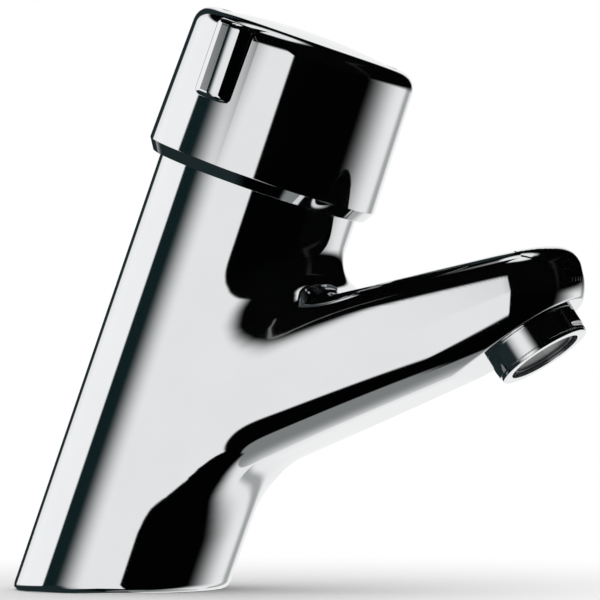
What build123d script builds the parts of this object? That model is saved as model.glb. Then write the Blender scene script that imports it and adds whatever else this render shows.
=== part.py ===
# Push-operated, self-closing basin tap whose knob also turns to mix hot and cold.
# Frame: origin in the middle of the foot on the deck, +Z up, +X towards the spout.
# The barrel leans towards the spout, and names that end in _h are heights along its axis.
import os
from math import asin, cos, pi, radians, sin, sqrt, tan

from build123d import *

os.makedirs("parts", exist_ok=True)

# Barrel
barrel_radius = 25.0
barrel_lean = 21.0
neck_rise = 7.0
neck_chamfer = 1.0
foot_round = 1.2
cut_overrun = 30.0
match_tolerance = 0.01

# Spout, seen from the side: heights of its two outlines over the aerator's lip, and slopes
reach = 109.5
top_over_reach = 80.3
top_slope = 12.4
under_over_reach = 58.1
under_slope = 21.7
hip_radius = 20.0
hip_turn = 25.0
hip_reach = 44.0

# Spout, seen from above: half width at the barrel, and the round tip
root_inset = 2.0
tip_radius = 17.0
tip_margin = 3.3
tip_lean = 12.0
taper_start = 45.0
top_round = 5.5
under_round = 12.0
root_round = 8.5

# Aerator at the tip
lip_height = 55.1
aerator_lean = 33.0
collar_radius = 11.7
collar_height = 4.3
flats_height = 1.5
flats_half_width = 10.7
lip_radius = 11.3
lip_depth = 0.8
aerator_thread_radius = 10.8
aerator_thread_length = 9.0
aerator_bore_radius = 9.4
aerator_clearance = 0.1
spot_face_half_length = 25.0
insert_recess = 1.3
insert_ledge = 0.5
insert_slot_radius = 5.2
insert_slot_width = 2.4
insert_slot_turn = 100.0
insert_slot_depth = 4.0
insert_ring_radius = 7.6
insert_ring_width = 0.8
insert_ring_height = 0.5
insert_bore_radius = 6.6
aerator_gasket_thickness = 2.0
aerator_gasket_bore = 6.0
channel_radius = 5.0

# Deck side: a screwed-in block with two threaded inlets and the fixing stud's hole, and a seal
block_radius = 17.5
block_thickness = 16.0
inlet_spread = 9.5
inlet_thread_radius = 4.5
inlet_depth = 12.0
port_radius = 3.0
stud_offset = 12.0
stud_thread_radius = 3.4
stud_depth = 14.0
foot_seal_inner = 19.0
foot_seal_outer = 22.0
foot_seal_depth = 2.2
filter_seat_radius = 4.0
filter_thickness = 1.2
filter_clearance = 0.1
filter_hole_radius = 0.6
filter_pitch = 1.7
filter_rows = 3

# Chamber in the barrel and what stands still in it
chamber_floor_h = 30.0
chamber_radius = 18.5
nut_ledge = 5.0
nut_thread_radius = 20.0
slip_clearance = 0.3
snug_clearance = 0.05
fit_clearance = 0.1
port_seal_thickness = 2.0
disc_radius = 16.0
disc_thickness = 3.5
disc_clearance = 0.2
disc_gap = 0.6
housing_collar_radius = 16.0
housing_collar_height = 8.0
outlet_groove_depth = 2.0
outlet_groove_height = 11.0
outlet_window_radius = 3.5
outlet_window_count = 4
seal_ring_width = 2.0
seal_groove_depth = 1.6
lower_seal_drop = 3.0
upper_seal_rise = 9.5
nut_height = 6.5
nut_notch_width = 4.0
nut_notch_depth = 2.0
nut_notch_count = 4
limit_ring_height = 3.0
limit_ring_radius = 18.0
limit_window_radius = 15.6
limit_skirt_height = 1.4
stop_margin = 1.0

# Parts that turn with the knob but don't slide
sleeve_radius = 13.0
sleeve_neck_radius = 11.2
sleeve_rise = 6.0
mixing_room_radius = 10.5
mixing_room_height = 9.0
seat_thickness = 2.5
seat_bore_radius = 4.5
outlet_room_height = 7.5
outlet_port_radius = 2.8
partition_thickness = 2.5
metering_radius = 9.0
cap_thread_radius = 9.6
cap_height = 6.0
stop_tab_radius = 15.2
stop_tab_half_angle = 8.0
turn_limit = 55.0
mixing_port_half_turn = 75.0
drive_key_radius = 11.0
drive_key_length = 3.0
drive_key_width = 5.0
drive_key_depth = 2.5
sleeve_seal_rise = 3.5
bleed_hole_radius = 0.5

# Parts that slide with the knob
push_travel = 4.5
push_stop_gap = 1.5
rod_radius = 3.0
rod_square = 7.0
spigot_radius = 2.0
valve_head_radius = 6.8
valve_head_thickness = 1.8
valve_seal_thickness = 1.7
valve_gap = 0.1
piston_radius = 8.7
piston_height = 7.0
piston_headroom = 3.0
lip_seal_inner = 7.2
lip_seal_width = 2.5
lip_seal_shift = 2.2
spring_radius = 6.2
spring_wire_radius = 0.6
spring_turns = 5
spring_wire_sides = 6
spring_room = 16.5

# Knob
skirt_clearance = 0.35
skirt_overlap = 8.2
skirt_chamfer_height = 2.75
skirt_foot_wall = 1.65
skirt_wall = 3.35
knob_draft = 0.95
knob_height = 37.4
knob_corner = 4.6
knob_bore_radius = 23.5
crown_recess_depth = 2.3
screw_seat_depth = 2.4
crown_wall = 2.0
cap_radius = 22.5
cap_edge = 2.0
cap_dome = 1.8
cap_chamfer = 0.4
cap_pocket_radius = 6.5
cap_pocket_depth = 1.0
lug_azimuth = -105.0
lug_half_width = 5.4
lug_root = 1.0
lug_length = 7.6
lug_drop = 1.6
lug_height = 19.0
lug_corner = 3.6
lug_end_round = 1.6
carrier_hub_radius = 8.6
carrier_web = 7.5
carrier_flange_height = 4.0
carrier_rib_count = 6
carrier_rib_width = 2.0
carrier_rib_height = 9.0
screw_radius = 2.5
screw_head_radius = 4.5
screw_head_height = 2.7
screw_head_gap = 1.0
screw_length = 14.0
screw_socket_radius = 2.0
screw_socket_depth = 1.5

# Heights of the stack from the chamber's floor up to the knob's rim
fixed_disc_h = chamber_floor_h + port_seal_thickness
turning_disc_h = fixed_disc_h + disc_thickness
sleeve_low_h = turning_disc_h + disc_thickness
seat_h = sleeve_low_h + mixing_room_height
outlet_h = seat_h + seat_thickness
partition_h = outlet_h + outlet_room_height
metering_low_h = partition_h + partition_thickness
piston_h = metering_low_h + spring_room
rod_square_h = piston_h + piston_height
metering_high_h = rod_square_h + piston_headroom
lower_seal_h = seat_h - lower_seal_drop
upper_seal_h = metering_low_h + upper_seal_rise
sleeve_seal_h = metering_low_h + sleeve_seal_rise
housing_top_h = metering_high_h + nut_ledge
limit_ring_h = housing_top_h + housing_collar_height
sleeve_top_h = limit_ring_h + sleeve_rise
neck_top_h = sleeve_top_h + neck_rise
carrier_low_h = sleeve_top_h + push_travel + push_stop_gap
skirt_low_h = neck_top_h - skirt_overlap
skirt_bore_top_h = neck_top_h + push_travel + push_stop_gap
knob_rim_h = skirt_low_h + knob_height
crown_recess_h = knob_rim_h - crown_recess_depth
screw_seat_h = crown_recess_h - screw_seat_depth
crown_low_h = screw_seat_h - crown_wall
rod_top_h = crown_low_h - carrier_web
lug_high_h = knob_rim_h - lug_drop
lug_low_h = lug_high_h - lug_height

# Planes and points of the leaning barrel
lean = radians(barrel_lean)
along = Vector(sin(lean), 0, cos(lean))
outward = Vector(cos(lean), 0, -sin(lean))
barrel_axis = Axis((0, 0, 0), along)
lengthwise = Plane(origin=(0, 0, 0), x_dir=outward, z_dir=(0, -1, 0))


def radial(angle):
    """Unit vector square to the barrel, at an angle about it from the spout's side."""
    return outward * cos(radians(angle)) + Vector(0, 1, 0) * sin(radians(angle))


def across(height, angle=0):
    """Plane square to the barrel at a height along its axis, its x turned by an angle."""
    return Plane(origin=along * height, x_dir=radial(angle), z_dir=along)


def facing(height, angle):
    """Plane on the barrel's axis whose normal points outwards at an angle about it."""
    return Plane(origin=along * height, x_dir=along, z_dir=radial(angle))


def off_axis(point):
    """Distance of a point from the barrel's axis."""
    return (point - along * point.dot(along)).length


def save(builder, name):
    """Label a finished sub-part and write its STEP file."""
    builder.part.label = name
    export_step(builder.part, f"parts/{name}.step")


# Outline of the spout from the side, as heights over a reach
def top_line(x):
    return top_over_reach + (x - reach) * tan(radians(top_slope))


def under_line(x):
    return under_over_reach + (x - reach) * tan(radians(under_slope))


def meet_axis(slope, x, z):
    """Where a straight line through (x, z) at a slope crosses the barrel's axis."""
    height = (z - x * slope) / (1 - slope * tan(lean))
    return (height * tan(lean), height)


# The concave hip, where the underside bends down into the barrel
hip_from = radians(under_slope)
hip_to = radians(under_slope + hip_turn)
hip_centre = (
    hip_reach + hip_radius * sin(hip_from),
    under_line(hip_reach) - hip_radius * cos(hip_from),
)


def on_hip(angle):
    return (hip_centre[0] - hip_radius * sin(angle), hip_centre[1] + hip_radius * cos(angle))


hip_high, hip_low = on_hip(hip_from), on_hip(hip_to)


def under_outline(x):
    """Height of the spout's whole underside in its side view."""
    if x >= hip_high[0]:
        return under_line(x)
    if x >= hip_low[0]:
        return hip_centre[1] + sqrt(hip_radius**2 - (x - hip_centre[0]) ** 2)
    return hip_low[1] + (x - hip_low[0]) * tan(hip_to)


def follows(edge, outline):
    """Whether an edge lies along an outline of the side view, not straight across it."""
    crosswise = edge.geom_type == GeomType.LINE and abs(edge.tangent_at(0.5).Y) > cos(lean)
    points = [edge @ share for share in (0.1, 0.5, 0.9)]
    return not crosswise and all(abs(p.Z - outline(p.X)) < match_tolerance for p in points)


def meets_barrel(edge):
    """Whether an edge lies on the barrel's round wall, clear of its ends and its seam."""
    points = [edge @ share for share in (0.1, 0.5, 0.9)]
    heights = [p.dot(along) for p in points]
    on_wall = all(abs(off_axis(p) - barrel_radius) < match_tolerance for p in points)
    between = min(heights) > -match_tolerance and max(heights) < neck_top_h - root_round
    return on_wall and between and edge.geom_type != GeomType.LINE


# Aerator's plane: its origin on the machined flat, its normal down and forward
aerator_drop = collar_height + flats_height + lip_depth
insert_length = aerator_thread_length + aerator_drop - insert_recess
droop = radians(aerator_lean)
spray = Vector(sin(droop), 0, -cos(droop))
flat_centre = Vector(reach, 0, lip_height) - spray * aerator_drop
outlet = Plane(origin=flat_centre, x_dir=(cos(droop), 0, sin(droop)), z_dir=spray)

# Plan of the spout, drawn square to the face of its tip
tip_tilt = radians(tip_lean)
plan_view = Plane(
    origin=(0, 0, 0),
    x_dir=(cos(tip_tilt), 0, sin(tip_tilt)),
    z_dir=(-sin(tip_tilt), 0, cos(tip_tilt)),
)
root_half_width = barrel_radius - root_inset
flat_run = flat_centre.X * cos(tip_tilt) + flat_centre.Z * sin(tip_tilt)
tip_centre = flat_run + collar_radius + tip_margin - tip_radius
side_run = tip_centre - taper_start
side_bow = (side_run**2 / (root_half_width - tip_radius) + root_half_width + tip_radius) / 2
side_turn = asin(side_run / (side_bow - tip_radius))
tip_joint = (tip_centre + tip_radius * sin(side_turn), tip_radius * cos(side_turn))
side_middle = (
    taper_start + side_bow * sin(side_turn / 2),
    root_half_width - side_bow + side_bow * cos(side_turn / 2),
)
spout_end = reach + cut_overrun

# Spout as a solid of its own: side outline cut to the plan, then rounded along its edges
with BuildPart() as spout:
    with BuildSketch(Plane.XZ):
        with BuildLine():
            crown_root = meet_axis(tan(radians(top_slope)), reach, top_over_reach)
            hip_root = meet_axis(tan(hip_to), *hip_low)
            Line((spout_end, top_line(spout_end)), crown_root)
            Line(crown_root, hip_root)
            Line(hip_root, hip_low)
            ThreePointArc(hip_low, on_hip((hip_from + hip_to) / 2), hip_high)
            Line(hip_high, (spout_end, under_line(spout_end)))
            Line((spout_end, under_line(spout_end)), (spout_end, top_line(spout_end)))
        make_face()
    extrude(amount=barrel_radius, both=True)
    with BuildSketch(plan_view):
        with BuildLine():
            Line((-spout_end, -root_half_width), (-spout_end, root_half_width))
            Line((-spout_end, root_half_width), (taper_start, root_half_width))
            ThreePointArc((taper_start, root_half_width), side_middle, tip_joint)
            ThreePointArc(tip_joint, (tip_centre + tip_radius, 0), (tip_joint[0], -tip_joint[1]))
            ThreePointArc(
                (tip_joint[0], -tip_joint[1]),
                (side_middle[0], -side_middle[1]),
                (taper_start, -root_half_width),
            )
            Line((taper_start, -root_half_width), (-spout_end, -root_half_width))
        make_face()
    extrude(amount=spout_end, both=True, mode=Mode.INTERSECT)
    fillet(spout.edges().filter_by(lambda e: follows(e, top_line)), top_round)
    fillet(spout.edges().filter_by(lambda e: follows(e, under_outline)), under_round)

# Cores of the casting: the aerator's pocket, the water channel to it and the block's inlets
pocket_depth = aerator_thread_length + aerator_gasket_thickness + fit_clearance
channel_from = along * (outlet_h + outlet_groove_height / 2)
channel_to = flat_centre - spray * pocket_depth + Vector(0, 0, -channel_radius / 2)
inlet_x = inlet_depth * tan(lean)
inlet_top_h = inlet_depth / cos(lean)

# Casting: the barrel with its spout, rounded where they join, then machined and cored
with BuildPart() as tap_casting:
    with BuildSketch(across(-cut_overrun)):
        Circle(barrel_radius)
    extrude(amount=neck_top_h + cut_overrun)
    add(spout.part)
    fillet(tap_casting.edges().filter_by(meets_barrel), root_round)
    split(bisect_by=Plane.XY, keep=Keep.TOP)
    foot_rim = tap_casting.faces().sort_by(Axis.Z)[0].edges()
    fillet(foot_rim, foot_round)
    chamfer(tap_casting.faces().sort_by_distance(along * neck_top_h)[0].edges(), neck_chamfer)
    with BuildSketch(outlet):
        Rectangle(2 * spot_face_half_length, 2 * barrel_radius)
    extrude(amount=spot_face_half_length, mode=Mode.SUBTRACT)
    with BuildSketch(across(chamber_floor_h)):
        Circle(chamber_radius)
    extrude(amount=neck_top_h - chamber_floor_h, mode=Mode.SUBTRACT)
    with BuildSketch(across(housing_top_h)):
        Circle(nut_thread_radius)
    extrude(amount=neck_top_h - housing_top_h, mode=Mode.SUBTRACT)
    with BuildSketch(outlet):
        Circle(aerator_thread_radius + fit_clearance)
    extrude(amount=-pocket_depth, mode=Mode.SUBTRACT)
    with BuildSketch(Plane(origin=channel_from, x_dir=(0, 1, 0), z_dir=channel_to - channel_from)):
        Circle(channel_radius)
    extrude(amount=(channel_to - channel_from).length, mode=Mode.SUBTRACT)
    with BuildSketch(Plane.XY):
        Circle(block_radius + fit_clearance)
    extrude(amount=block_thickness + fit_clearance, mode=Mode.SUBTRACT)
    with BuildSketch(across(inlet_top_h)):
        with Locations((0, inlet_spread), (0, -inlet_spread)):
            Circle(port_radius)
    extrude(amount=chamber_floor_h - inlet_top_h, mode=Mode.SUBTRACT)
    with BuildSketch(across(chamber_floor_h)):
        with Locations((0, inlet_spread), (0, -inlet_spread)):
            Circle(filter_seat_radius)
    extrude(amount=-filter_thickness, mode=Mode.SUBTRACT)
    with BuildSketch(Plane.XY):
        Circle(foot_seal_outer)
        Circle(foot_seal_inner, mode=Mode.SUBTRACT)
    extrude(amount=foot_seal_depth, mode=Mode.SUBTRACT)
save(tap_casting, "tap_casting")

# Inlet block in the foot: tapped for two tails and the stud, with ports up to the chamber
with BuildPart() as inlet_block:
    with BuildSketch(Plane.XY):
        Circle(block_radius)
    extrude(amount=block_thickness)
    with BuildSketch(Plane.XY):
        with Locations((inlet_x, inlet_spread), (inlet_x, -inlet_spread)):
            Circle(inlet_thread_radius)
    extrude(amount=inlet_depth, mode=Mode.SUBTRACT)
    with BuildSketch(across(inlet_top_h)):
        with Locations((0, inlet_spread), (0, -inlet_spread)):
            Circle(port_radius)
    extrude(amount=chamber_floor_h - inlet_top_h, mode=Mode.SUBTRACT)
    with BuildSketch(Plane.XY):
        with Locations((-stud_offset, 0)):
            Circle(stud_thread_radius)
    extrude(amount=stud_depth, mode=Mode.SUBTRACT)
save(inlet_block, "inlet_block")

# Seal under the foot, squeezed flush with the deck
with BuildPart() as foot_seal:
    with BuildSketch(Plane.XY):
        Circle(foot_seal_outer - fit_clearance)
        Circle(foot_seal_inner + fit_clearance, mode=Mode.SUBTRACT)
    extrude(amount=foot_seal_depth - fit_clearance)
save(foot_seal, "foot_seal")

# Inlet filters, a pierced disc in a seat at the head of each inclined inlet
for name, side in (("cold_inlet_filter", 1), ("hot_inlet_filter", -1)):
    with BuildPart() as inlet_filter:
        with BuildSketch(across(chamber_floor_h - filter_thickness)):
            with Locations((0, side * inlet_spread)):
                Circle(filter_seat_radius - filter_clearance)
                with GridLocations(filter_pitch, filter_pitch, filter_rows, filter_rows):
                    Circle(filter_hole_radius, mode=Mode.SUBTRACT)
        extrude(amount=filter_thickness)
    save(inlet_filter, name)

# Port seal and fixed ceramic disc, each with a hot and a cold port
for name, low_h, thickness in (
    ("port_seal", chamber_floor_h, port_seal_thickness),
    ("fixed_disc", fixed_disc_h, disc_thickness),
):
    with BuildPart() as ported_disc:
        with BuildSketch(across(low_h)):
            Circle(disc_radius)
            with Locations((0, inlet_spread), (0, -inlet_spread)):
                Circle(port_radius, mode=Mode.SUBTRACT)
        extrude(amount=thickness)
    save(ported_disc, name)

# Cartridge housing: a sleeve in the chamber with a pocket for the discs below
housing_radius = chamber_radius - slip_clearance
housing_bore = sleeve_radius + slip_clearance
disc_pocket_radius = disc_radius + disc_clearance
disc_pocket_top_h = sleeve_low_h + disc_gap
window_h = outlet_h + outlet_groove_height / 2
seal_seat_radius = housing_radius - seal_groove_depth
with BuildPart() as cartridge_housing:
    with BuildSketch(lengthwise):
        with BuildLine():
            Polyline(
                (housing_bore, disc_pocket_top_h),
                (disc_pocket_radius, disc_pocket_top_h),
                (disc_pocket_radius, chamber_floor_h),
                (housing_radius, chamber_floor_h),
                (housing_radius, housing_top_h),
                (housing_collar_radius, housing_top_h),
                (housing_collar_radius, limit_ring_h),
                (housing_bore, limit_ring_h),
                close=True,
            )
        make_face()
    revolve(axis=barrel_axis)
    for groove_h, height, depth in (
        (outlet_h, outlet_groove_height, outlet_groove_depth),
        (lower_seal_h, seal_ring_width + fit_clearance, seal_groove_depth),
        (upper_seal_h, seal_ring_width + fit_clearance, seal_groove_depth),
    ):
        with BuildSketch(across(groove_h)):
            Circle(chamber_radius)
            Circle(housing_radius - depth, mode=Mode.SUBTRACT)
        extrude(amount=height, mode=Mode.SUBTRACT)
    for index in range(outlet_window_count):
        with BuildSketch(facing(window_h, 360 * index / outlet_window_count)):
            Circle(outlet_window_radius)
        extrude(amount=chamber_radius, mode=Mode.SUBTRACT)
save(cartridge_housing, "cartridge_housing")

# Two seal rings between the housing and the chamber, above and below the outlet
with BuildPart() as chamber_seals:
    for ring_h in (lower_seal_h, upper_seal_h):
        with BuildSketch(across(ring_h + fit_clearance / 2)):
            Circle(chamber_radius - snug_clearance)
            Circle(seal_seat_radius + snug_clearance, mode=Mode.SUBTRACT)
        extrude(amount=seal_ring_width)
save(chamber_seals, "chamber_seals")

# Ring nut that holds the housing down, notched for its key
with BuildPart() as ring_nut:
    with BuildSketch(across(housing_top_h)):
        Circle(nut_thread_radius - fit_clearance)
        Circle(housing_collar_radius + fit_clearance, mode=Mode.SUBTRACT)
    extrude(amount=nut_height)
    with BuildSketch(across(housing_top_h + nut_height)):
        with PolarLocations(nut_thread_radius, nut_notch_count):
            Rectangle(nut_thread_radius, nut_notch_width)
    extrude(amount=-nut_notch_depth, mode=Mode.SUBTRACT)
save(ring_nut, "ring_nut")

# Temperature limit ring: its window stops the sleeve's tab at full hot and full cold
window_half_turn = turn_limit + stop_tab_half_angle + stop_margin
with BuildPart() as limit_ring:
    with BuildSketch(across(limit_ring_h)):
        Circle(limit_ring_radius)
        Circle(sleeve_neck_radius + slip_clearance, mode=Mode.SUBTRACT)
        with BuildLine():
            rim = CenterArc((0, 0), limit_window_radius, 180 - window_half_turn, 2 * window_half_turn)
            Polyline(rim @ 0, (0, 0), rim @ 1)
        make_face(mode=Mode.SUBTRACT)
    extrude(amount=limit_ring_height)
    with BuildSketch(across(limit_ring_h)):
        Circle(limit_ring_radius)
        Circle(housing_collar_radius + snug_clearance, mode=Mode.SUBTRACT)
    extrude(amount=-limit_skirt_height)
save(limit_ring, "limit_ring")

# Turning ceramic disc: its curved port uncovers hot, cold or both, and a blind slot drives it
with BuildPart() as turning_disc:
    with BuildSketch(across(turning_disc_h)):
        Circle(disc_radius - disc_clearance)
        port_line = CenterArc(
            (0, 0), inlet_spread, -mixing_port_half_turn, 2 * mixing_port_half_turn, mode=Mode.PRIVATE
        )
        SlotArc(port_line, 2 * port_radius, mode=Mode.SUBTRACT)
    extrude(amount=disc_thickness)
    with BuildSketch(across(sleeve_low_h)):
        with Locations((-drive_key_radius, 0)):
            Rectangle(drive_key_length + 2 * fit_clearance, drive_key_width + 2 * fit_clearance)
    extrude(amount=-drive_key_depth - fit_clearance, mode=Mode.SUBTRACT)
save(turning_disc, "turning_disc")

# Mixing sleeve: turns with the knob and holds the valve seat and the metering cylinder
sleeve_shoulder_h = limit_ring_h - slip_clearance
sleeve_seal_groove = sleeve_radius - seal_groove_depth
with BuildPart() as mixing_sleeve:
    with BuildSketch(lengthwise):
        with BuildLine():
            Polyline(
                (mixing_room_radius, sleeve_low_h),
                (sleeve_radius, sleeve_low_h),
                (sleeve_radius, sleeve_shoulder_h),
                (sleeve_neck_radius, sleeve_shoulder_h),
                (sleeve_neck_radius, sleeve_top_h),
                (cap_thread_radius, sleeve_top_h),
                (cap_thread_radius, metering_high_h),
                (metering_radius, metering_high_h),
                (metering_radius, metering_low_h),
                (rod_radius + snug_clearance, metering_low_h),
                (rod_radius + snug_clearance, partition_h),
                (mixing_room_radius, partition_h),
                (mixing_room_radius, outlet_h),
                (seat_bore_radius, outlet_h),
                (seat_bore_radius, seat_h),
                (mixing_room_radius, seat_h),
                close=True,
            )
        make_face()
    revolve(axis=barrel_axis)
    for index in range(outlet_window_count):
        with BuildSketch(facing(outlet_h + outlet_room_height / 2, 360 * index / outlet_window_count)):
            Circle(outlet_port_radius)
        extrude(amount=chamber_radius, mode=Mode.SUBTRACT)
    with BuildSketch(across(sleeve_seal_h)):
        Circle(chamber_radius)
        Circle(sleeve_seal_groove, mode=Mode.SUBTRACT)
    extrude(amount=seal_ring_width + fit_clearance, mode=Mode.SUBTRACT)
    with BuildSketch(across(partition_h)):
        with Locations((metering_radius - 2 * bleed_hole_radius, 0)):
            Circle(bleed_hole_radius)
    extrude(amount=partition_thickness, mode=Mode.SUBTRACT)
    with BuildSketch(across(limit_ring_h + slip_clearance)):
        with BuildLine():
            rim = CenterArc((0, 0), stop_tab_radius, 180 - stop_tab_half_angle, 2 * stop_tab_half_angle)
            Polyline(rim @ 0, (0, 0), rim @ 1)
        make_face()
        Circle((sleeve_neck_radius + cap_thread_radius) / 2, mode=Mode.SUBTRACT)
    extrude(amount=limit_ring_height - 2 * slip_clearance)
    with BuildSketch(across(sleeve_low_h - drive_key_depth)):
        with Locations((-drive_key_radius, 0)):
            Rectangle(drive_key_length, drive_key_width)
    extrude(amount=drive_key_depth + fit_clearance)
save(mixing_sleeve, "mixing_sleeve")

# Seal ring on the sleeve, above the windows
with BuildPart() as sleeve_seal:
    with BuildSketch(across(sleeve_seal_h + fit_clearance / 2)):
        Circle(housing_bore - snug_clearance)
        Circle(sleeve_seal_groove + snug_clearance, mode=Mode.SUBTRACT)
    extrude(amount=seal_ring_width)
save(sleeve_seal, "sleeve_seal")

# Chamber cap: closes the metering cylinder, and its square hole is turned by the rod
with BuildPart() as chamber_cap:
    with BuildSketch(across(metering_high_h)):
        Circle(cap_thread_radius - snug_clearance)
        Rectangle(rod_square + slip_clearance, rod_square + slip_clearance, mode=Mode.SUBTRACT)
    extrude(amount=cap_height)
save(chamber_cap, "chamber_cap")

# Push rod: round through the valve, square above, tapped on top, with a spigot below
valve_seal_h = seat_h - valve_gap - valve_seal_thickness
valve_head_h = valve_seal_h - valve_head_thickness
with BuildPart() as push_rod:
    with BuildSketch(across(valve_head_h)):
        Circle(spigot_radius)
    extrude(amount=rod_square_h - valve_head_h)
    with BuildSketch(across(seat_h - valve_gap)):
        Circle(rod_radius)
    extrude(amount=rod_square_h - seat_h + valve_gap)
    with BuildSketch(across(rod_square_h)):
        Rectangle(rod_square, rod_square)
    extrude(amount=rod_top_h - rod_square_h)
    with BuildSketch(across(rod_top_h)):
        Circle(screw_radius + snug_clearance)
    extrude(amount=-screw_length, mode=Mode.SUBTRACT)
save(push_rod, "push_rod")

# Valve head and the seal it presses up against the seat
for name, low_h, thickness in (
    ("valve_head", valve_head_h, valve_head_thickness),
    ("valve_seal", valve_seal_h, valve_seal_thickness),
):
    with BuildPart() as valve_disc:
        with BuildSketch(across(low_h)):
            Circle(valve_head_radius)
            Circle(spigot_radius + snug_clearance, mode=Mode.SUBTRACT)
        extrude(amount=thickness)
    save(valve_disc, name)

# Metering piston under the rod's square shoulder, grooved for its lip seal
lip_seal_h = piston_h + lip_seal_shift
with BuildPart() as piston:
    with BuildSketch(across(piston_h)):
        Circle(piston_radius)
        Circle(rod_radius + snug_clearance, mode=Mode.SUBTRACT)
    extrude(amount=piston_height)
    with BuildSketch(across(lip_seal_h)):
        Circle(metering_radius)
        Circle(lip_seal_inner, mode=Mode.SUBTRACT)
    extrude(amount=lip_seal_width, mode=Mode.SUBTRACT)
save(piston, "piston")

# Lip seal of the piston, running in the metering cylinder
with BuildPart() as piston_lip_seal:
    with BuildSketch(across(lip_seal_h + snug_clearance)):
        Circle(metering_radius - snug_clearance)
        Circle(lip_seal_inner + snug_clearance, mode=Mode.SUBTRACT)
    extrude(amount=lip_seal_width - 2 * snug_clearance)
save(piston_lip_seal, "piston_lip_seal")

# Return spring between the metering cylinder's floor and the piston
spring_low_h = metering_low_h + slip_clearance + spring_wire_radius
spring_length = piston_h - snug_clearance - spring_wire_radius - spring_low_h
with BuildPart() as return_spring:
    with BuildLine():
        helix = Helix(
            spring_length / spring_turns, spring_length, spring_radius,
            center=along * spring_low_h, direction=along,
        )
    with BuildSketch(Plane(origin=helix @ 0, z_dir=helix % 0)):
        RegularPolygon(spring_wire_radius, spring_wire_sides)
    sweep(is_frenet=True)
save(return_spring, "return_spring")

# Carrier under the crown: a square-bored hub with a flange and ribs
with BuildPart() as knob_carrier:
    with BuildSketch(across(carrier_low_h)):
        Circle(carrier_hub_radius)
    extrude(amount=crown_low_h - carrier_low_h)
    with BuildSketch(across(crown_low_h)):
        Circle(knob_bore_radius - slip_clearance)
    extrude(amount=-carrier_flange_height)
    rib_reach = knob_bore_radius - slip_clearance
    with BuildSketch(across(crown_low_h - carrier_flange_height)):
        Circle(carrier_hub_radius)
        with PolarLocations(rib_reach / 2, carrier_rib_count):
            Rectangle(rib_reach, carrier_rib_width)
    extrude(amount=-carrier_rib_height)
    with BuildSketch(across(carrier_low_h)):
        Rectangle(rod_square + fit_clearance, rod_square + fit_clearance)
    extrude(amount=rod_top_h + snug_clearance - carrier_low_h, mode=Mode.SUBTRACT)
    with BuildSketch(across(rod_top_h)):
        Circle(screw_radius + fit_clearance)
    extrude(amount=crown_low_h - rod_top_h, mode=Mode.SUBTRACT)
save(knob_carrier, "knob_carrier")

# Knob shell: a drafted cup turned over the neck, with a thumb lug on its side
skirt_bore = barrel_radius + skirt_clearance
knob_foot_radius = skirt_bore + skirt_foot_wall
knob_wide_radius = skirt_bore + skirt_wall
knob_top_radius = knob_wide_radius - knob_draft
rim_inner_radius = knob_top_radius - knob_corner
recess_radius = cap_radius + fit_clearance
corner_h = knob_rim_h - knob_corner
corner_bulge = knob_corner * cos(pi / 4)
with BuildPart() as knob_cup:
    with BuildSketch(lengthwise):
        with BuildLine():
            Polyline(
                (rim_inner_radius, knob_rim_h),
                (recess_radius, knob_rim_h),
                (recess_radius, crown_recess_h),
                (screw_head_radius + screw_head_gap, crown_recess_h),
                (screw_head_radius + screw_head_gap, screw_seat_h),
                (screw_radius + fit_clearance, screw_seat_h),
                (screw_radius + fit_clearance, crown_low_h),
                (knob_bore_radius, crown_low_h),
                (knob_bore_radius, skirt_bore_top_h),
                (skirt_bore, skirt_bore_top_h),
                (skirt_bore, skirt_low_h),
                (knob_foot_radius, skirt_low_h),
                (knob_wide_radius, skirt_low_h + skirt_chamfer_height),
                (knob_top_radius, corner_h),
            )
            ThreePointArc(
                (knob_top_radius, corner_h),
                (rim_inner_radius + corner_bulge, corner_h + corner_bulge),
                (rim_inner_radius, knob_rim_h),
            )
        make_face()
    revolve(axis=barrel_axis)

# Thumb lug: a rounded bar down the knob's side, marking how far it is turned
with BuildPart() as thumb_lug:
    with BuildSketch(across(lug_low_h, lug_azimuth)):
        with Locations((knob_bore_radius + lug_root + lug_length / 2, 0)):
            Rectangle(lug_length, 2 * lug_half_width)
    extrude(amount=lug_high_h - lug_low_h)
    fillet(thumb_lug.edges().filter_by(barrel_axis).sort_by(lambda e: off_axis(e @ 0.5))[-2:], lug_corner)
    ends = thumb_lug.faces().filter_by(barrel_axis).edges()
    fillet(ends.filter_by(lambda e: off_axis(e @ 0.5) > knob_bore_radius + lug_root), lug_end_round)
with BuildPart() as knob_shell:
    add(knob_cup.part)
    add(thumb_lug.part)
save(knob_shell, "knob_shell")

# Domed cap in the knob's recess, hollowed below for the screw's head
cap_edge_h = crown_recess_h + cap_edge
dome_rim = cap_radius - cap_chamfer
dome_radius = (dome_rim**2 + cap_dome**2) / (2 * cap_dome)
dome_turn = asin(dome_rim / dome_radius) / 2
dome_middle = (dome_radius * sin(dome_turn), cap_edge_h + cap_dome - dome_radius * (1 - cos(dome_turn)))
with BuildPart() as knob_cap:
    with BuildSketch(lengthwise):
        with BuildLine():
            Polyline(
                (0, cap_edge_h + cap_dome),
                (0, crown_recess_h + cap_pocket_depth),
                (cap_pocket_radius, crown_recess_h + cap_pocket_depth),
                (cap_pocket_radius, crown_recess_h),
                (cap_radius, crown_recess_h),
                (cap_radius, cap_edge_h - cap_chamfer),
                (dome_rim, cap_edge_h),
            )
            ThreePointArc((dome_rim, cap_edge_h), dome_middle, (0, cap_edge_h + cap_dome))
        make_face()
    revolve(axis=barrel_axis)
save(knob_cap, "knob_cap")

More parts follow.
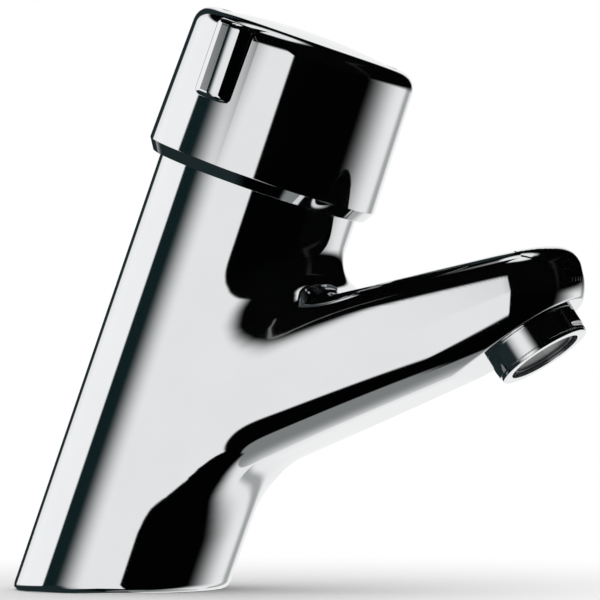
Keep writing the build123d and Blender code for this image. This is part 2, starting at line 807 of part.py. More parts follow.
# Screw that holds knob, carrier and rod together
with BuildPart() as knob_screw:
    with BuildSketch(across(screw_seat_h - screw_length + fit_clearance)):
        Circle(screw_radius)
    extrude(amount=screw_length)
    with BuildSketch(across(screw_seat_h)):
        Circle(screw_head_radius)
    extrude(amount=screw_head_height)
    with BuildSketch(across(screw_seat_h + screw_head_height)):
        RegularPolygon(screw_socket_radius, 6)
    extrude(amount=-screw_socket_depth, mode=Mode.SUBTRACT)
save(knob_screw, "knob_screw")

# Aerator housing: screwed up to its collar in the spout, with two flats for a spanner
with BuildPart() as aerator_housing:
    with BuildSketch(outlet):
        Circle(aerator_thread_radius)
    extrude(amount=-aerator_thread_length)
    with BuildSketch(outlet):
        Circle(collar_radius)
    extrude(amount=collar_height)
    with BuildSketch(outlet.offset(collar_height)):
        Circle(collar_radius)
        Rectangle(2 * flats_half_width, 2 * collar_radius, mode=Mode.INTERSECT)
    extrude(amount=flats_height)
    with BuildSketch(outlet.offset(collar_height + flats_height)):
        Circle(lip_radius)
    extrude(amount=lip_depth)
    with BuildSketch(outlet.offset(-aerator_thread_length)):
        Circle(aerator_bore_radius)
    extrude(amount=insert_length, mode=Mode.SUBTRACT)
    with BuildSketch(outlet.offset(aerator_drop)):
        Circle(aerator_bore_radius - insert_ledge)
    extrude(amount=-aerator_drop, mode=Mode.SUBTRACT)
save(aerator_housing, "aerator_housing")

# Aerator insert: a cup whose face has two curved slots inside a raised ring
insert_face = outlet.offset(aerator_drop - insert_recess)
with BuildPart() as aerator_insert:
    with BuildSketch(insert_face):
        Circle(aerator_bore_radius - aerator_clearance)
    extrude(amount=-insert_length)
    with BuildSketch(insert_face):
        Circle(insert_ring_radius + insert_ring_width / 2)
        Circle(insert_ring_radius - insert_ring_width / 2, mode=Mode.SUBTRACT)
    extrude(amount=insert_ring_height)
    with BuildSketch(insert_face.offset(-insert_slot_depth)):
        Circle(insert_bore_radius)
    extrude(amount=insert_slot_depth - insert_length, mode=Mode.SUBTRACT)
    with BuildSketch(insert_face):
        for start in (-insert_slot_turn / 2, 180 - insert_slot_turn / 2):
            slot_line = CenterArc((0, 0), insert_slot_radius, start, insert_slot_turn, mode=Mode.PRIVATE)
            SlotArc(slot_line, insert_slot_width)
    extrude(amount=-insert_slot_depth, mode=Mode.SUBTRACT)
save(aerator_insert, "aerator_insert")

# Gasket between the aerator and the roof of its pocket
with BuildPart() as aerator_gasket:
    with BuildSketch(outlet.offset(-aerator_thread_length)):
        Circle(aerator_thread_radius)
        Circle(aerator_gasket_bore, mode=Mode.SUBTRACT)
    extrude(amount=-aerator_gasket_thickness)
save(aerator_gasket, "aerator_gasket")
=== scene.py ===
"""Looks of a push timed basin tap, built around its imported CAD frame.

Sizes are in millimetres, as in the part's source, and become metres when a mesh is made or the
camera is placed. Only a bump's height, the floor's fade and the near clip are in metres.
"""

import logging
import math
from collections.abc import Callable
from dataclasses import dataclass
from enum import Enum, IntEnum
from typing import TypeAlias

import bmesh
import bpy
import numpy as np
from mathutils import Matrix, Vector

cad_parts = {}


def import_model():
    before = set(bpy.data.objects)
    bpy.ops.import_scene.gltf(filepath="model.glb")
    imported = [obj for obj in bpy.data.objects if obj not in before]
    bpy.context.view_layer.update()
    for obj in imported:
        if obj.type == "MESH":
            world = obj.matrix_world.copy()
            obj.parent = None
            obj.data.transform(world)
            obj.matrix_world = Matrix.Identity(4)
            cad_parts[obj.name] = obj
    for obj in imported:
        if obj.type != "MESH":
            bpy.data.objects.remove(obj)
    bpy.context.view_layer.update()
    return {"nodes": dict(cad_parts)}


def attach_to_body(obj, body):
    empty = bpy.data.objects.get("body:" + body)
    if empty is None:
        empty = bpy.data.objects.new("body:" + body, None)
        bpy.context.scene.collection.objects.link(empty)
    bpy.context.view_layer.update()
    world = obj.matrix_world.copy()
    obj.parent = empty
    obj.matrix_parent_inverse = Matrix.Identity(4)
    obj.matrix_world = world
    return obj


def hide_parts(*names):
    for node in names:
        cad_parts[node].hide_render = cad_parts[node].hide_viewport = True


LOG = logging.getLogger("tap")
MM = 0.001
WELD = 0.002
HALVINGS = 44
SHORTEST = 1e-12
QUARTER_TURN = math.pi / 2.0
FULL_TURN = 2.0 * math.pi
SIDEWAYS = np.array([0.0, 1.0, 0.0])
UPWARDS = np.array([0.0, 0.0, 1.0])

Array: TypeAlias = np.ndarray
Form: TypeAlias = Callable[[Array], Array]
Triple: TypeAlias = tuple[float, float, float]
Span: TypeAlias = tuple[float, float]
Value: TypeAlias = "Wire | float | tuple[float, ...] | Vector"


class Body(Enum):
    """The CAD bodies that a piece can ride on."""

    TAP = "tap_body"
    KNOB = "push_knob"


class Slot(Enum):
    """The record's material slots."""

    CHROME = "chrome_plate"
    BRASS = "cartridge_brass"
    STEEL = "steel"
    RUBBER = "seal_rubber"
    CERAMIC = "disc_ceramic"
    ACETAL = "cartridge_plastic"
    INSERT = "insert_plastic"


NODE_SLOTS: dict[Slot, tuple[str, ...]] = {
    Slot.CHROME: ("tap_casting", "aerator_housing", "knob_shell", "knob_cap"),
    Slot.BRASS: (
        "inlet_block", "cartridge_housing", "ring_nut", "mixing_sleeve", "chamber_cap",
        "valve_head",
    ),
    Slot.STEEL: (
        "cold_inlet_filter", "hot_inlet_filter", "knob_screw", "push_rod", "return_spring",
    ),
    Slot.RUBBER: (
        "foot_seal", "port_seal", "chamber_seals", "aerator_gasket", "sleeve_seal",
        "piston_lip_seal", "valve_seal",
    ),
    Slot.CERAMIC: ("fixed_disc", "turning_disc"),
    Slot.ACETAL: ("limit_ring", "knob_carrier", "piston"),
    Slot.INSERT: ("aerator_insert",),
}


class Wire:
    """An output socket of a node tree, with arithmetic that adds Math nodes."""

    def __init__(self, graph: "Graph", socket: bpy.types.NodeSocket | None) -> None:
        """Keeps the tree and its output socket, None after a node that has no output."""
        self.graph = graph
        self.socket = socket

    def _math(self, operation: str, first: Value, second: Value) -> "Wire":
        """Adds a Math node on two values, each a number or a wire."""
        return self.graph.node(
            "ShaderNodeMath", {"operation": operation}, {0: first, 1: second}
        )

    def __add__(self, other: Value) -> "Wire":
        """Sum."""
        return self._math("ADD", self, other)

    def __radd__(self, other: Value) -> "Wire":
        """Sum with the number in front."""
        return self._math("ADD", other, self)

    def __sub__(self, other: Value) -> "Wire":
        """Difference."""
        return self._math("SUBTRACT", self, other)

    def __rsub__(self, other: Value) -> "Wire":
        """Difference with the number in front."""
        return self._math("SUBTRACT", other, self)

    def __mul__(self, other: Value) -> "Wire":
        """Product."""
        return self._math("MULTIPLY", self, other)

    def __rmul__(self, other: Value) -> "Wire":
        """Product with the number in front."""
        return self._math("MULTIPLY", other, self)

    def higher(self, other: Value) -> "Wire":
        """The higher of two values."""
        return self._math("MAXIMUM", self, other)

    def step(self, low: float, high: float) -> "Wire":
        """A smooth step, still 0 at low and 1 from high on."""
        return self.graph.node(
            "ShaderNodeMapRange",
            {"interpolation_type": "SMOOTHSTEP"},
            {"Value": self, "From Min": low, "From Max": high},
        )


class MixSocket(IntEnum):
    """Sockets of a Mix node that blends colours, by number."""

    FACTOR = 0
    FIRST = 6
    SECOND = 7
    RESULT = 2


class Graph:
    """The node tree of a material or world, to which nodes are added one by one."""

    def __init__(self, owner: bpy.types.Material | bpy.types.World) -> None:
        """Gives the material or world an empty node tree."""
        owner.use_nodes = True
        self.tree = owner.node_tree
        self.tree.nodes.clear()

    def node(
        self,
        kind: str,
        settings: dict[str, object] | None = None,
        inputs: dict[str | int, Value] | None = None,
        output: str | int = 0,
    ) -> Wire:
        """Adds a node: its settings first, then its values and links.

        Args:
            kind: the node's type.
            settings: properties of the node.
            inputs: values or wires by the socket's name or number.
            output: the socket that is wanted.

        Returns:
            The wanted output.
        """
        made = self.tree.nodes.new(kind)
        for name, value in (settings or {}).items():
            setattr(made, name, value)
        for name, value in (inputs or {}).items():
            self.feed(made.inputs[name], value)
        return Wire(self, made.outputs[output] if made.outputs else None)

    def feed(self, socket: bpy.types.NodeSocket, value: Value) -> None:
        """Gives a socket its link or its own value.

        Args:
            socket: the input socket.
            value: a wire, a number, a colour or a vector.
        """
        if isinstance(value, Wire):
            self.tree.links.new(value.socket, socket)
        else:
            socket.default_value = value

    def mix(self, factor: Value, first: Value, second: Value) -> Wire:
        """The blend of two colours; a factor of 0 gives the first, 1 the second."""
        return self.node(
            "ShaderNodeMix",
            {"data_type": "RGBA"},
            {MixSocket.FACTOR: factor, MixSocket.FIRST: first, MixSocket.SECOND: second},
            MixSocket.RESULT,
        )


def grey(level: float) -> tuple[float, float, float, float]:
    """A neutral colour of one level."""
    return (level, level, level, 1.0)


@dataclass(frozen=True)
class Finish:
    """A surface finish: a shader whose colour and gloss drift a little over the piece."""

    name: str
    colour: Triple
    metallic: float
    roughness: float
    roughness_drift: float
    colour_drift: float
    drift_scale: float
    bump: float = 0.0
    drift_detail: float = 3.0
    drift_grain: float = 0.6
    drift_span: Span = (0.3, 0.7)
    bump_scale: float = 900.0
    bump_detail: float = 2.0
    bump_height: float = 0.0001
    ior: float = 1.5

    def build(self) -> bpy.types.Material:
        """Makes the material.

        Returns:
            The finished material.
        """
        material = bpy.data.materials.new(self.name)
        graph = Graph(material)
        place = graph.node("ShaderNodeTexCoord", output="Object")
        drift = graph.node(
            "ShaderNodeTexNoise", None,
            {
                "Vector": place, "Scale": self.drift_scale, "Detail": self.drift_detail,
                "Roughness": self.drift_grain,
            },
        )
        darker = tuple(part * (1.0 - self.colour_drift) for part in self.colour)
        inputs: dict[str | int, Value] = {
            "Base Color": graph.mix(
                drift.step(*self.drift_span), (*darker, 1.0), (*self.colour, 1.0)
            ),
            "Metallic": self.metallic,
            "Roughness": self.roughness + self.roughness_drift * (drift - 0.5),
            "IOR": self.ior,
        }
        if self.bump:
            grain = graph.node(
                "ShaderNodeTexNoise", None,
                {"Vector": place, "Scale": self.bump_scale, "Detail": self.bump_detail},
            )
            inputs["Normal"] = graph.node(
                "ShaderNodeBump", None,
                {"Strength": self.bump, "Distance": self.bump_height, "Height": grain},
            )
        shader = graph.node("ShaderNodeBsdfPrincipled", None, inputs)
        graph.node("ShaderNodeOutputMaterial", None, {"Surface": shader})
        return material


FINISHES: dict[Slot, Finish] = {
    Slot.CHROME: Finish(
        "chrome_plate", (0.80, 0.81, 0.82), metallic=1.0, roughness=0.04,
        roughness_drift=0.03, colour_drift=0.02, drift_scale=55.0,
    ),
    Slot.BRASS: Finish(
        "turned_brass", (0.72, 0.56, 0.30), metallic=1.0, roughness=0.24,
        roughness_drift=0.12, colour_drift=0.12, drift_scale=120.0, bump=0.1,
    ),
    Slot.STEEL: Finish(
        "bright_steel", (0.62, 0.62, 0.62), metallic=1.0, roughness=0.28,
        roughness_drift=0.10, colour_drift=0.06, drift_scale=150.0, bump=0.1,
    ),
    Slot.RUBBER: Finish(
        "seal_rubber", (0.03, 0.03, 0.03), metallic=0.0, roughness=0.62,
        roughness_drift=0.10, colour_drift=0.15, drift_scale=200.0, bump=0.3,
    ),
    Slot.CERAMIC: Finish(
        "lapped_ceramic", (0.86, 0.85, 0.80), metallic=0.0, roughness=0.14,
        roughness_drift=0.06, colour_drift=0.02, drift_scale=90.0,
    ),
    Slot.ACETAL: Finish(
        "white_acetal", (0.82, 0.82, 0.80), metallic=0.0, roughness=0.42,
        roughness_drift=0.10, colour_drift=0.03, drift_scale=120.0, bump=0.1,
    ),
    Slot.INSERT: Finish(
        "dark_acetal", (0.035, 0.038, 0.04), metallic=0.0, roughness=0.30,
        roughness_drift=0.10, colour_drift=0.10, drift_scale=160.0, bump=0.1,
    ),
}


def unit(vectors: Array) -> Array:
    """Vectors of length 1 along the given ones."""
    return vectors / np.maximum(np.linalg.norm(vectors, axis=-1, keepdims=True), SHORTEST)


def pitched(angle: Array | float) -> Array:
    """Unit vectors in the tap's middle plane, tipped up from +X by an angle in radians."""
    return np.stack([np.cos(angle), np.zeros_like(angle), np.sin(angle)], axis=-1)


@dataclass(frozen=True)
class Ramp:
    """A share that goes evenly from 0 at one place to 1 at another."""

    zero: float
    one: float

    def at(self, place: Array) -> Array:
        """The share at each place."""
        return np.clip((place - self.zero) / (self.one - self.zero), 0.0, 1.0)


def rounded_overlap(first: Array, second: Array, radius: float) -> Array:
    """Overlap of two forms whose common edge is rounded.

    Where both depths are less than the radius, the result is the distance from the round's
    middle less the radius; elsewhere it is the larger of the two.

    Args:
        first: signed distance to one form, negative inside.
        second: signed distance to the other.
        radius: radius of the round.

    Returns:
        Signed distance to the overlap.
    """
    beyond = np.hypot(np.maximum(first + radius, 0.0), np.maximum(second + radius, 0.0))
    return np.minimum(-radius, np.maximum(first, second)) + beyond


def gradient(form: Form, points: Array, step: float = 0.01) -> Array:
    """Slope of a form by central differences.

    Args:
        form: gives a value for each point.
        points: where the slope is wanted.
        step: half the distance between the two values compared.

    Returns:
        A vector for each point.
    """
    sides = [form(points + axis) - form(points - axis) for axis in np.eye(3) * step]
    return np.stack(sides, axis=-1) / (2.0 * step)


def halve(inside: Form, near: Array, far: Array) -> tuple[Array, Array]:
    """Narrows stretches that hold a crossing, by halving them again and again.

    Args:
        inside: tells whether the place at each distance is still inside.
        near: distances that are inside.
        far: distances that are outside.

    Returns:
        The last distances inside and outside.
    """
    for _ in range(HALVINGS):
        middle = (near + far) / 2.0
        held = inside(middle)
        near, far = np.where(held, middle, near), np.where(held, far, middle)
    return near, far


def leave(form: Form, start: Array, way: Array, low: float, high: float) -> Array:
    """Where rays leave a form.

    Args:
        form: signed distance, negative inside.
        start: where the rays start.
        way: their directions.
        low: a distance at which a ray is still inside.
        high: a distance at which it is outside.

    Returns:
        The crossing of each ray.
    """
    level = np.zeros(way.shape[:-1])
    near, far = halve(
        lambda distance: form(start + way * distance[..., None]) < 0.0, level + low, level + high
    )
    return start + way * ((near + far) / 2.0)[..., None]


def mesh_rows(rows: bpy.types.bpy_prop_collection, name: str, width: int, kind: type) -> Array:
    """One property of a mesh's vertices, corners or normals.

    Args:
        rows: the mesh's collection.
        name: the property.
        width: how many numbers it has.
        kind: their type.

    Returns:
        An array with a row for each item.
    """
    flat = np.empty(len(rows) * width, dtype=kind)
    rows.foreach_get(name, flat)
    return flat.reshape(-1, width)


def attach(piece: bpy.types.Object, body: Body, node: str) -> None:
    """Rides a piece on its body and hides the node that it replaces.

    Args:
        piece: the finished piece.
        body: the CAD body that carries it.
        node: the CAD node that it stands for.
    """
    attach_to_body(piece, body.value)
    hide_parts(node)
    mesh = piece.data
    LOG.info("%s: %d points, %d faces", piece.name, len(mesh.vertices), len(mesh.polygons))


def link(mesh: bpy.types.Mesh, material: bpy.types.Material) -> bpy.types.Object:
    """Puts a mesh in the scene, as an object of its name with one material.

    Args:
        mesh: the mesh, in metres and in its final place.
        material: its finish.

    Returns:
        The object, at the origin.
    """
    mesh.materials.clear()
    mesh.materials.append(material)
    made = bpy.data.objects.new(mesh.name, mesh)
    bpy.context.collection.objects.link(made)
    return made


@dataclass(frozen=True)
class Grid:
    """A surface patch: rows and columns of points with their normals, in millimetres."""

    points: Array
    normals: Array
    ring: bool = True

    def quads(self, first: int) -> Array:
        """Corner numbers of the patch's quads.

        Args:
            first: the number of the patch's first point.

        Returns:
            Four numbers for each quad.
        """
        rows, columns = self.points.shape[:2]
        number = first + np.arange(rows * columns).reshape(rows, columns)
        if self.ring:
            number = np.concatenate([number, number[:, :1]], axis=1)
        corners = [number[:-1, :-1], number[:-1, 1:], number[1:, 1:], number[1:, :-1]]
        return np.stack(corners, axis=-1).reshape(-1, 4)


@dataclass(frozen=True)
class Surface:
    """A piece whose faces are welded where they meet and shaded by their own normals."""

    name: str

    def faces(self) -> tuple[Array, Array, Array]:
        """Points, their normals, and the faces by point number, before the weld."""
        raise NotImplementedError

    def build(self, material: bpy.types.Material) -> bpy.types.Object:
        """Makes the object. A quad that the weld closes to a triangle keeps three corners.

        Args:
            material: its finish.

        Returns:
            The object, at the origin.
        """
        points, normals, faces = self.faces()
        keys = np.round(points / WELD).astype(np.int64)
        _, first, same = np.unique(keys, axis=0, return_index=True, return_inverse=True)
        same = same.reshape(-1)
        repeats = same[faces] == np.roll(same[faces], -1, axis=1)
        count = repeats.sum(axis=1)
        pinched = faces[count == 1][~repeats[count == 1]].reshape(-1, faces.shape[1] - 1)
        kept = [part for part in (faces[count == 0], pinched) if part.shape[1] >= 3]
        welded = [face for part in kept for face in same[part].tolist()]
        mesh = bpy.data.meshes.new(self.name)
        mesh.from_pydata((points[first] * MM).tolist(), [], welded)
        mesh.shade_smooth()
        corners = np.concatenate([part.reshape(-1) for part in kept])
        mesh.normals_split_custom_set(normals[corners].tolist())
        return link(mesh, material)


@dataclass(frozen=True)
class Patches(Surface):
    """A piece made of grids."""

    grids: tuple[Grid, ...]

    def faces(self) -> tuple[Array, Array, Array]:
        """Joins the grids, each quad turned so that it faces along its normals.

        Returns:
            Points, their normals, and the quads by point number.
        """
        points = np.concatenate([g.points.reshape(-1, 3) for g in self.grids])
        normals = np.concatenate([g.normals.reshape(-1, 3) for g in self.grids])
        sizes = np.cumsum([0] + [g.points.shape[0] * g.points.shape[1] for g in self.grids])
        quads = np.concatenate([g.quads(int(n)) for g, n in zip(self.grids, sizes)])
        across = np.cross(
            points[quads[:, 2]] - points[quads[:, 0]], points[quads[:, 3]] - points[quads[:, 1]]
        )
        wrong = (across * normals[quads].sum(axis=1)).sum(axis=1) < 0.0
        quads[wrong] = quads[wrong][:, ::-1]
        return points, normals, quads


@dataclass(frozen=True)
class Triangles(Surface):
    """A piece of loose triangles, with three points and normals for each."""

    points: Array
    normals: Array

    def faces(self) -> tuple[Array, Array, Array]:
        """Points, their normals, and the triangles by point number, before the weld."""
        points = self.points.reshape(-1, 3)
        return points, self.normals.reshape(-1, 3), np.arange(len(points)).reshape(-1, 3)


@dataclass(frozen=True)
class Barrel:
    """The leaning axis that casting and knob share."""

    lean: float = math.radians(21.0)

    @property
    def along(self) -> Array:
        """Unit vector up the axis."""
        return np.array([math.sin(self.lean), 0.0, math.cos(self.lean)])

    @property
    def outward(self) -> Array:
        """Unit vector square to the axis, on the spout's side."""
        return np.array([math.cos(self.lean), 0.0, -math.sin(self.lean)])

    def off(self, points: Array) -> Array:
        """What is left of each point's place once its height along the axis is taken off."""
        return points - (points @ self.along)[..., None] * self.along

    def radial(self, turn: Array | float) -> Array:
        """Unit vectors square to the axis, by their turn from the spout's side in radians."""
        turn = np.asarray(turn)[..., None]
        return np.cos(turn) * self.outward + np.sin(turn) * SIDEWAYS

    def place(self, radius: Array | float, turn: Array | float, height: Array | float) -> Array:
        """Points given by radius, turn in radians, and height along the axis."""
        out = np.asarray(radius)[..., None] * self.radial(turn)
        return out + np.asarray(height)[..., None] * self.along


@dataclass(frozen=True)
class Casting:
    """The cast body, as one form that is solved along rays.

    The barrel is a round cylinder about the leaning axis. The spout is the overlap of three
    forms: below a sloping top line, above an underside of line, arc and line, inside a plan of
    straight and bowed sides with a round tip. Their edges are rounded, and barrel and spout meet
    in a fillet that is wider where their faces are closer to parallel.
    """

    # The barrel and its foot
    axis: Barrel = Barrel()
    radius: float = 25.0
    neck_high: float = 112.0
    foot_round: float = 1.7
    seal_outer: float = 22.0

    # The spout: its lines are placed by their heights over the outlet's reach
    reach: float = 109.5
    top_over_reach: float = 80.3
    top_slope: float = math.radians(12.4)
    under_over_reach: float = 58.1
    under_slope: float = math.radians(21.7)
    hip_radius: float = 20.0
    hip_turn: float = math.radians(25.0)
    hip_reach: float = 44.0
    root_half_width: float = 23.0
    taper_start: float = 45.0
    tip_radius: float = 17.0
    tip_margin: float = 3.3
    tip_lean: float = math.radians(12.0)
    top_round: float = 6.2
    under_round: float = 12.0

    # The aerator's flat
    lip_height: float = 55.1
    aerator_lean: float = math.radians(33.0)
    aerator_drop: float = 6.6
    collar_radius: float = 11.7
    pocket_radius: float = 10.9
    edge_round: float = 0.35

    # The fillet: its radius goes from root_round to side_round as the faces become parallel
    root_round: float = 8.5
    side_round: float = 26.0
    side_power: int = 8
    slope_step: float = 2.0
    cosine_limit: float = 0.999

    # The evening of the normals around the root; a ring has a share of the spread and a weight
    spread: float = 9.0
    spread_gap: Ramp = Ramp(26.0, 8.0)
    spread_height: Ramp = Ramp(9.0, 16.0)
    spread_ahead: Ramp = Ramp(-3.0, 2.0)
    spread_least: float = 0.01
    spread_rings: tuple[Span, ...] = ((0.3, 0.6), (0.65, 0.7), (1.0, 0.4))
    spread_spokes: int = 12
    spread_step: float = 0.05

    # How the skin is laid out
    seam_radius: float = 27.0
    seam_middle: float = 60.0
    wall_start: float = 12.0
    wall_rows: int = 52
    wall_crowding: float = 1.7
    wall_foot_points: int = 41
    wall_side_points: int = 27
    foot_rows: int = 9
    foot_columns: int = 160
    foot_ray: float = 6.0
    tube_start: Triple = (47.0, 0.0, 47.3)
    tube_straight: int = 54
    tube_fan: int = 70
    tube_ray: Span = (1.0, 60.0)
    fan_start: float = math.radians(107.0)
    pivot_reach: float = 21.3
    pivot_start: float = 14.5
    flat_rows: int = 5
    flat_ray: Span = (1.0, 40.0)

    # What is taken from the CAD body
    core_depth: float = 1.5
    on_plane: float = 0.01

    @property
    def spray(self) -> Array:
        """Unit vector square to the aerator's flat, downwards."""
        return np.array([math.sin(self.aerator_lean), 0.0, -math.cos(self.aerator_lean)])

    @property
    def flat_centre(self) -> Array:
        """Middle of the aerator's flat."""
        return np.array([self.reach, 0.0, self.lip_height]) - self.spray * self.aerator_drop

    @property
    def foot_band(self) -> float:
        """Height of the band above the deck, and its depth, in which the foot is rounded."""
        return 2.0 * self.foot_round

    def plan(self, points: Array) -> Array:
        """Signed distance to the plan: straight sides, then bowed ones, then the round tip.

        The bow is the arc that leaves the straight side without a corner and touches the tip's
        circle.

        Args:
            points: where it is wanted.

        Returns:
            The distance, negative inside.
        """
        forward = pitched(self.tip_lean)
        run = points @ forward
        side = np.abs(points[..., 1])
        tip = self.flat_centre @ forward + self.collar_radius + self.tip_margin - self.tip_radius
        length = tip - self.taper_start
        bow = (
            length**2 / (self.root_half_width - self.tip_radius)
            + self.root_half_width + self.tip_radius
        ) / 2.0
        turn = math.asin(length / (bow - self.tip_radius))
        straight = side - self.root_half_width
        bowed = np.hypot(run - self.taper_start, side - self.root_half_width + bow) - bow
        round_tip = np.hypot(run - tip, side) - self.tip_radius
        past = (run - tip) * math.cos(turn) - side * math.sin(turn) > 0.0
        return np.where(past, round_tip, np.where(run < self.taper_start, straight, bowed))

    def underside(self, points: Array) -> Array:
        """Signed distance to the underside: a line, the hip's arc and a steeper line.

        Args:
            points: where it is wanted.

        Returns:
            The distance, positive below.
        """
        start, end = self.under_slope, self.under_slope + self.hip_turn
        middle_x = self.hip_reach + self.hip_radius * math.sin(start)
        line_z = self.under_over_reach + (self.hip_reach - self.reach) * math.tan(start)
        middle_z = line_z - self.hip_radius * math.cos(start)
        x, z = points[..., 0] - middle_x, points[..., 2] - middle_z
        turn = np.arctan2(-x, z)
        shallow = self.hip_radius - (z * math.cos(start) - x * math.sin(start))
        steep = self.hip_radius - (z * math.cos(end) - x * math.sin(end))
        arc = self.hip_radius - np.hypot(x, z)
        return np.where(turn < start, shallow, np.where(turn > end, steep, arc))

    def spout(self, points: Array) -> Array:
        """Signed distance to the spout by itself, without its end in the barrel.

        Args:
            points: where it is wanted.

        Returns:
            The distance, negative inside.
        """
        line = self.top_over_reach + (points[..., 0] - self.reach) * math.tan(self.top_slope)
        top = (points[..., 2] - line) * math.cos(self.top_slope)
        sides = rounded_overlap(self.plan(points), top, self.top_round)
        return rounded_overlap(sides, self.underside(points), self.under_round)

    def wall(self, points: Array) -> Array:
        """Signed distance to the barrel by itself, negative inside."""
        return np.linalg.norm(self.axis.off(points), axis=-1) - self.radius

    def body(self, points: Array) -> Array:
        """Signed distance to barrel and spout, joined by the fillet.

        The fillet's depth is its radius times one less the cosine between the two normals, and
        the power of the blend makes its middle that of a round fillet. The radius widens with a
        power of the cosine of half the angle. Depth fades out towards the barrel's back half,
        which the spout doesn't reach. Outside both forms, the nearer one counts.

        Args:
            points: where it is wanted.

        Returns:
            The distance, negative inside.
        """
        barrel, spout = self.wall(points), self.spout(points)
        slope = unit(gradient(self.spout, points, self.slope_step))
        cosine = (unit(self.axis.off(points)) * slope).sum(axis=-1)
        cosine = np.clip(cosine, -self.cosine_limit, self.cosine_limit)
        half_cosine = (1.0 + cosine) / 2.0
        ahead = points @ self.axis.outward
        fade = Ramp(0.0, self.root_round / 2.0).at(ahead)
        widening = (self.side_round - self.root_round) * half_cosine**self.side_power
        depth = (self.root_round + widening) * (1.0 - cosine) * fade * fade * (3.0 - 2.0 * fade)
        share = (1.0 - np.sqrt(half_cosine)) / (1.0 - cosine)
        power = math.log(0.5) / np.log(1.0 - share)
        first = np.maximum(depth - barrel, 0.0) ** power
        second = np.maximum(depth - spout, 0.0) ** power
        apart = np.maximum(depth, np.minimum(barrel, spout))
        joined = apart - (first + second) ** (1.0 / power)
        return np.where(ahead > 0.0, joined, barrel)

    def whole(self, points: Array) -> Array:
        """Signed distance to the body with its foot rounded and cut level."""
        return rounded_overlap(self.body(points), -points[..., 2], self.foot_round)

    def facing(self, points: Array) -> Array:
        """Normals of the body, evened out around the spout's root.

        Near the root each normal is the weighted mean of the form's slopes at the point and on
        rings in its tangent plane, each turned a little so that their points don't line up. The
        rings shrink to nothing away from the root.

        Args:
            points: points on the surface.

        Returns:
            Unit normals.
        """
        normals = unit(gradient(self.whole, points))
        gap = np.maximum(self.wall(points), 0.0) + np.maximum(self.spout(points), 0.0)
        size = self.spread * self.spread_gap.at(gap)
        size *= self.spread_height.at(points[..., 2])
        size *= self.spread_ahead.at(points @ self.axis.outward)
        near = size > self.spread_least
        spot, up, size = points[near], normals[near], size[near][:, None]
        side = unit(np.cross(up, UPWARDS))
        across = np.cross(up, side)
        total = up.copy()
        spokes = np.arange(self.spread_spokes) * FULL_TURN / self.spread_spokes
        for share, weight in self.spread_rings:
            for angle in spokes + share:
                step = math.cos(angle) * side + math.sin(angle) * across
                slope = gradient(self.body, spot + share * size * step, self.spread_step)
                total += weight * unit(slope)
        normals[near] = unit(total)
        return normals

    def foot_line(self, turn: Array) -> Array:
        """Height along the axis at which the wall reaches the foot's band, by turn."""
        rise = self.foot_band + self.radius * np.cos(turn) * math.sin(self.axis.lean)
        return rise / math.cos(self.axis.lean)

    def border(self) -> Array:
        """Border of the unrolled wall, one way round, with a point at each of its corners.

        Returns:
            Turn times radius, and height; the first point is straight below the spout.
        """
        foot = np.linspace(0.0, math.pi, self.wall_foot_points)
        side = np.linspace(0.0, 1.0, self.wall_side_points)[1:-1]
        low = self.foot_line(foot)
        rise = low[-1] + side * (self.neck_high - low[-1])
        lower = np.stack([foot * self.radius, low], axis=-1)
        back = np.stack([np.full_like(side, math.pi * self.radius), rise], axis=-1)
        upper = np.stack([lower[::-1, 0], np.full_like(foot, self.neck_high)], axis=-1)
        right = np.concatenate([lower, back, upper])
        left = right[-2:0:-1] * np.array([-1.0, 1.0])
        return np.concatenate([right, left])

    def collar(self) -> Grid:
        """The barrel's wall around the spout, from the seam to the border.

        Spokes run from the seam's middle to the border in the unrolled barrel. The seam is where
        they leave the body at the seam's radius, and the rows crowd towards it.

        Returns:
            The patch, its first row on the seam.
        """
        border = self.border()
        middle = np.array([0.0, self.seam_middle])

        def covered(share: Array) -> Array:
            """Whether the place that far along each spoke is inside the body."""
            flat = middle + (border - middle) * share[:, None]
            spot = self.axis.place(self.seam_radius, flat[:, 0] / self.radius, flat[:, 1])
            return self.body(spot) < 0.0

        seam = halve(covered, np.zeros(len(border)), np.ones(len(border)))[1]
        rows = np.linspace(0.0, 1.0, self.wall_rows)[:, None] ** self.wall_crowding
        share = seam + (1.0 - seam) * rows
        flat = middle + (border - middle) * share[..., None]
        turn, height = flat[..., 0] / self.radius, flat[..., 1]
        start = height[..., None] * self.axis.along
        points = leave(
            self.body, start, self.axis.radial(turn), self.wall_start, self.seam_radius
        )
        return Grid(points, self.facing(points))

    def foot(self) -> tuple[Grid, Grid]:
        """The foot's round, solved along rays that swing down, and the level ring inside it.

        Returns:
            The round and the ring.
        """
        turn = np.linspace(-math.pi, math.pi, self.foot_columns, endpoint=False)
        outward = self.axis.radial(turn)
        wall = self.axis.place(self.radius, turn, self.foot_line(turn))
        start = wall - outward * self.foot_band
        sweep = np.linspace(0.0, QUARTER_TURN, self.foot_rows)[:, None, None]
        way = unit(np.cos(sweep) * outward - np.sin(sweep) * UPWARDS)
        points = leave(self.whole, start[None], way, 0.0, self.foot_ray)
        points[..., 2] = np.maximum(points[..., 2], 0.0)
        last = points[-1]
        inner = unit(last * (1.0 - UPWARDS)) * self.seal_outer
        level = np.stack([last, inner])
        normals = unit(gradient(self.whole, points))
        return Grid(points, normals), Grid(level, np.zeros_like(level) - UPWARDS)

